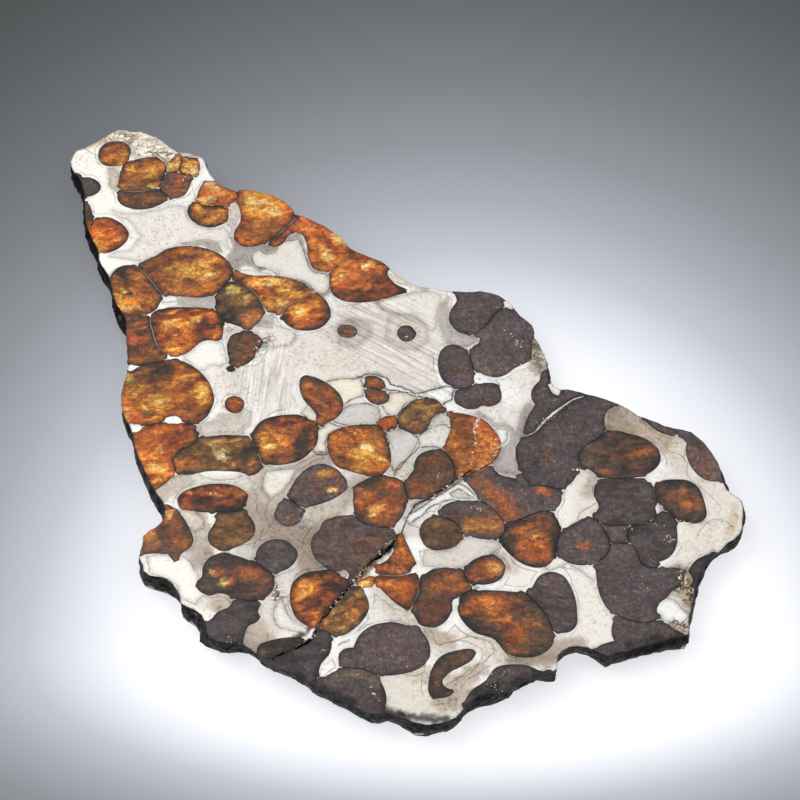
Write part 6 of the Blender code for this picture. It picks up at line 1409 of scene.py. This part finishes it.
def make_crystals(plan, crystals, lines, flecks):
    places = plan.places
    amber = olivine_material("olivine_amber_clear", 0.25, 0.8, 0.15, (0.95, 0.5, 0.12, 1), 60.0)
    dark = olivine_material("olivine_dark_clouded", 0.1, 0.32, 0.8, (0.5, 0.4, 0.35, 1), 300.0)
    broken_side = crust_material("broken_olivine_side", (0.006, 0.005, 0.005, 1), (0.06, 0.04, 0.03, 1), 0.62, 0.03)
    styles = {}
    for style in STYLES:
        for k, (_, outline) in enumerate(crystals, 1):
            if inside(traced([style[:2]]), outline)[0]:
                styles.setdefault(k, style)
    for name in sorted({name for name, _ in crystals}):
        which = [k for k, (node, _) in enumerate(crystals, 1) if node == name]

        def paint(spots, mark, which=which):
            if mark >= len(FIELDS):
                return flecks[mark - len(FIELDS)][1]
            colours = np.zeros((len(spots), 3))
            for k in which:
                mine = np.isin(spots, plan.corners[plan.owners == k])
                if mine.any():
                    own = spots[mine]
                    colours[mine] = olivine_colours(places[own], styles[k], plan.rim[own], plan.border[own])
            crack = np.where(plan.depth[spots] > 0, plan.hair[spots], -1)
            return with_hairlines(colours, places[spots], crack, lines)

        piece, _ = build_piece(name + "_crystal", plan, which, CRYSTAL_SHRINK, paint)
        gem = any(styles[k][2] != "dark" for k in which)
        piece.data.materials.append(amber if gem else dark)
        piece.data.materials.append(broken_side)
        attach(piece, "root")
        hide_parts(name)


def make_slice():
    edge = wavering(evenly(counterclockwise(traced(OUTER_EDGE)), EDGE_STEP), 5, OUTER_WAVER)
    crystals, narrow = crystal_outlines(edge)
    lines = hairlines()
    flecks = fleck_outlines()
    plan = make_plan(edge, [outline for _, outline in crystals], narrow, lines, flecks)
    make_metal(plan, lines, flecks)
    make_crystals(plan, crystals, lines, flecks)


def add_area(name, place, target, size, power):
    light = bpy.data.lights.new(name, "AREA")
    light.energy = power
    light.shape = "RECTANGLE"
    light.size, light.size_y = size
    lamp = bpy.data.objects.new(name, light)
    lamp.location = place
    lamp.rotation_euler = (Vector(target) - Vector(place)).to_track_quat("-Z", "Y").to_euler()
    bpy.context.scene.collection.objects.link(lamp)


def make_studio():
    floor = bpy.data.meshes.new("studio_floor")
    corners = [(-1, -1), (1, -1), (1, 1), (-1, 1)]
    floor.from_pydata([(x * FLOOR_HALF, y * FLOOR_HALF, 0) for x, y in corners], [], [(0, 1, 2, 3)])
    sheet = bpy.data.objects.new("studio_floor", floor)
    sheet.location.z = -FLOOR_DROP
    bpy.context.scene.collection.objects.link(sheet)
    floor.materials.append(floor_material())
    sheet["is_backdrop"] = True
    world = bpy.data.worlds.new("studio")
    world.use_nodes = True
    world.node_tree.nodes["Background"].inputs["Color"].default_value = (1, 1, 1, 1)
    world.node_tree.nodes["Background"].inputs["Strength"].default_value = SKY_STRENGTH
    bpy.context.scene.world = world
    for lamp in LAMPS:
        add_area(*lamp)


def make_camera():
    camera = bpy.data.cameras.new("camera")
    camera.lens = CAMERA_LENS
    camera.sensor_width = CAMERA_SENSOR
    camera.clip_start, camera.clip_end = CAMERA_CLIP
    holder = bpy.data.objects.new("camera", camera)
    holder.location = CAMERA_PLACE
    holder.rotation_euler = (CAMERA_TILT, 0, 0)
    bpy.context.scene.collection.objects.link(holder)
    bpy.context.scene.camera = holder


make_slice()
make_studio()
make_camera()
bpy.context.scene.view_settings.view_transform = "Standard"
boxes = {"cad": CAD_BOX, "visual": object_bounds()}
{name: [list(low), list(high)] for name, (low, high) in boxes.items()}
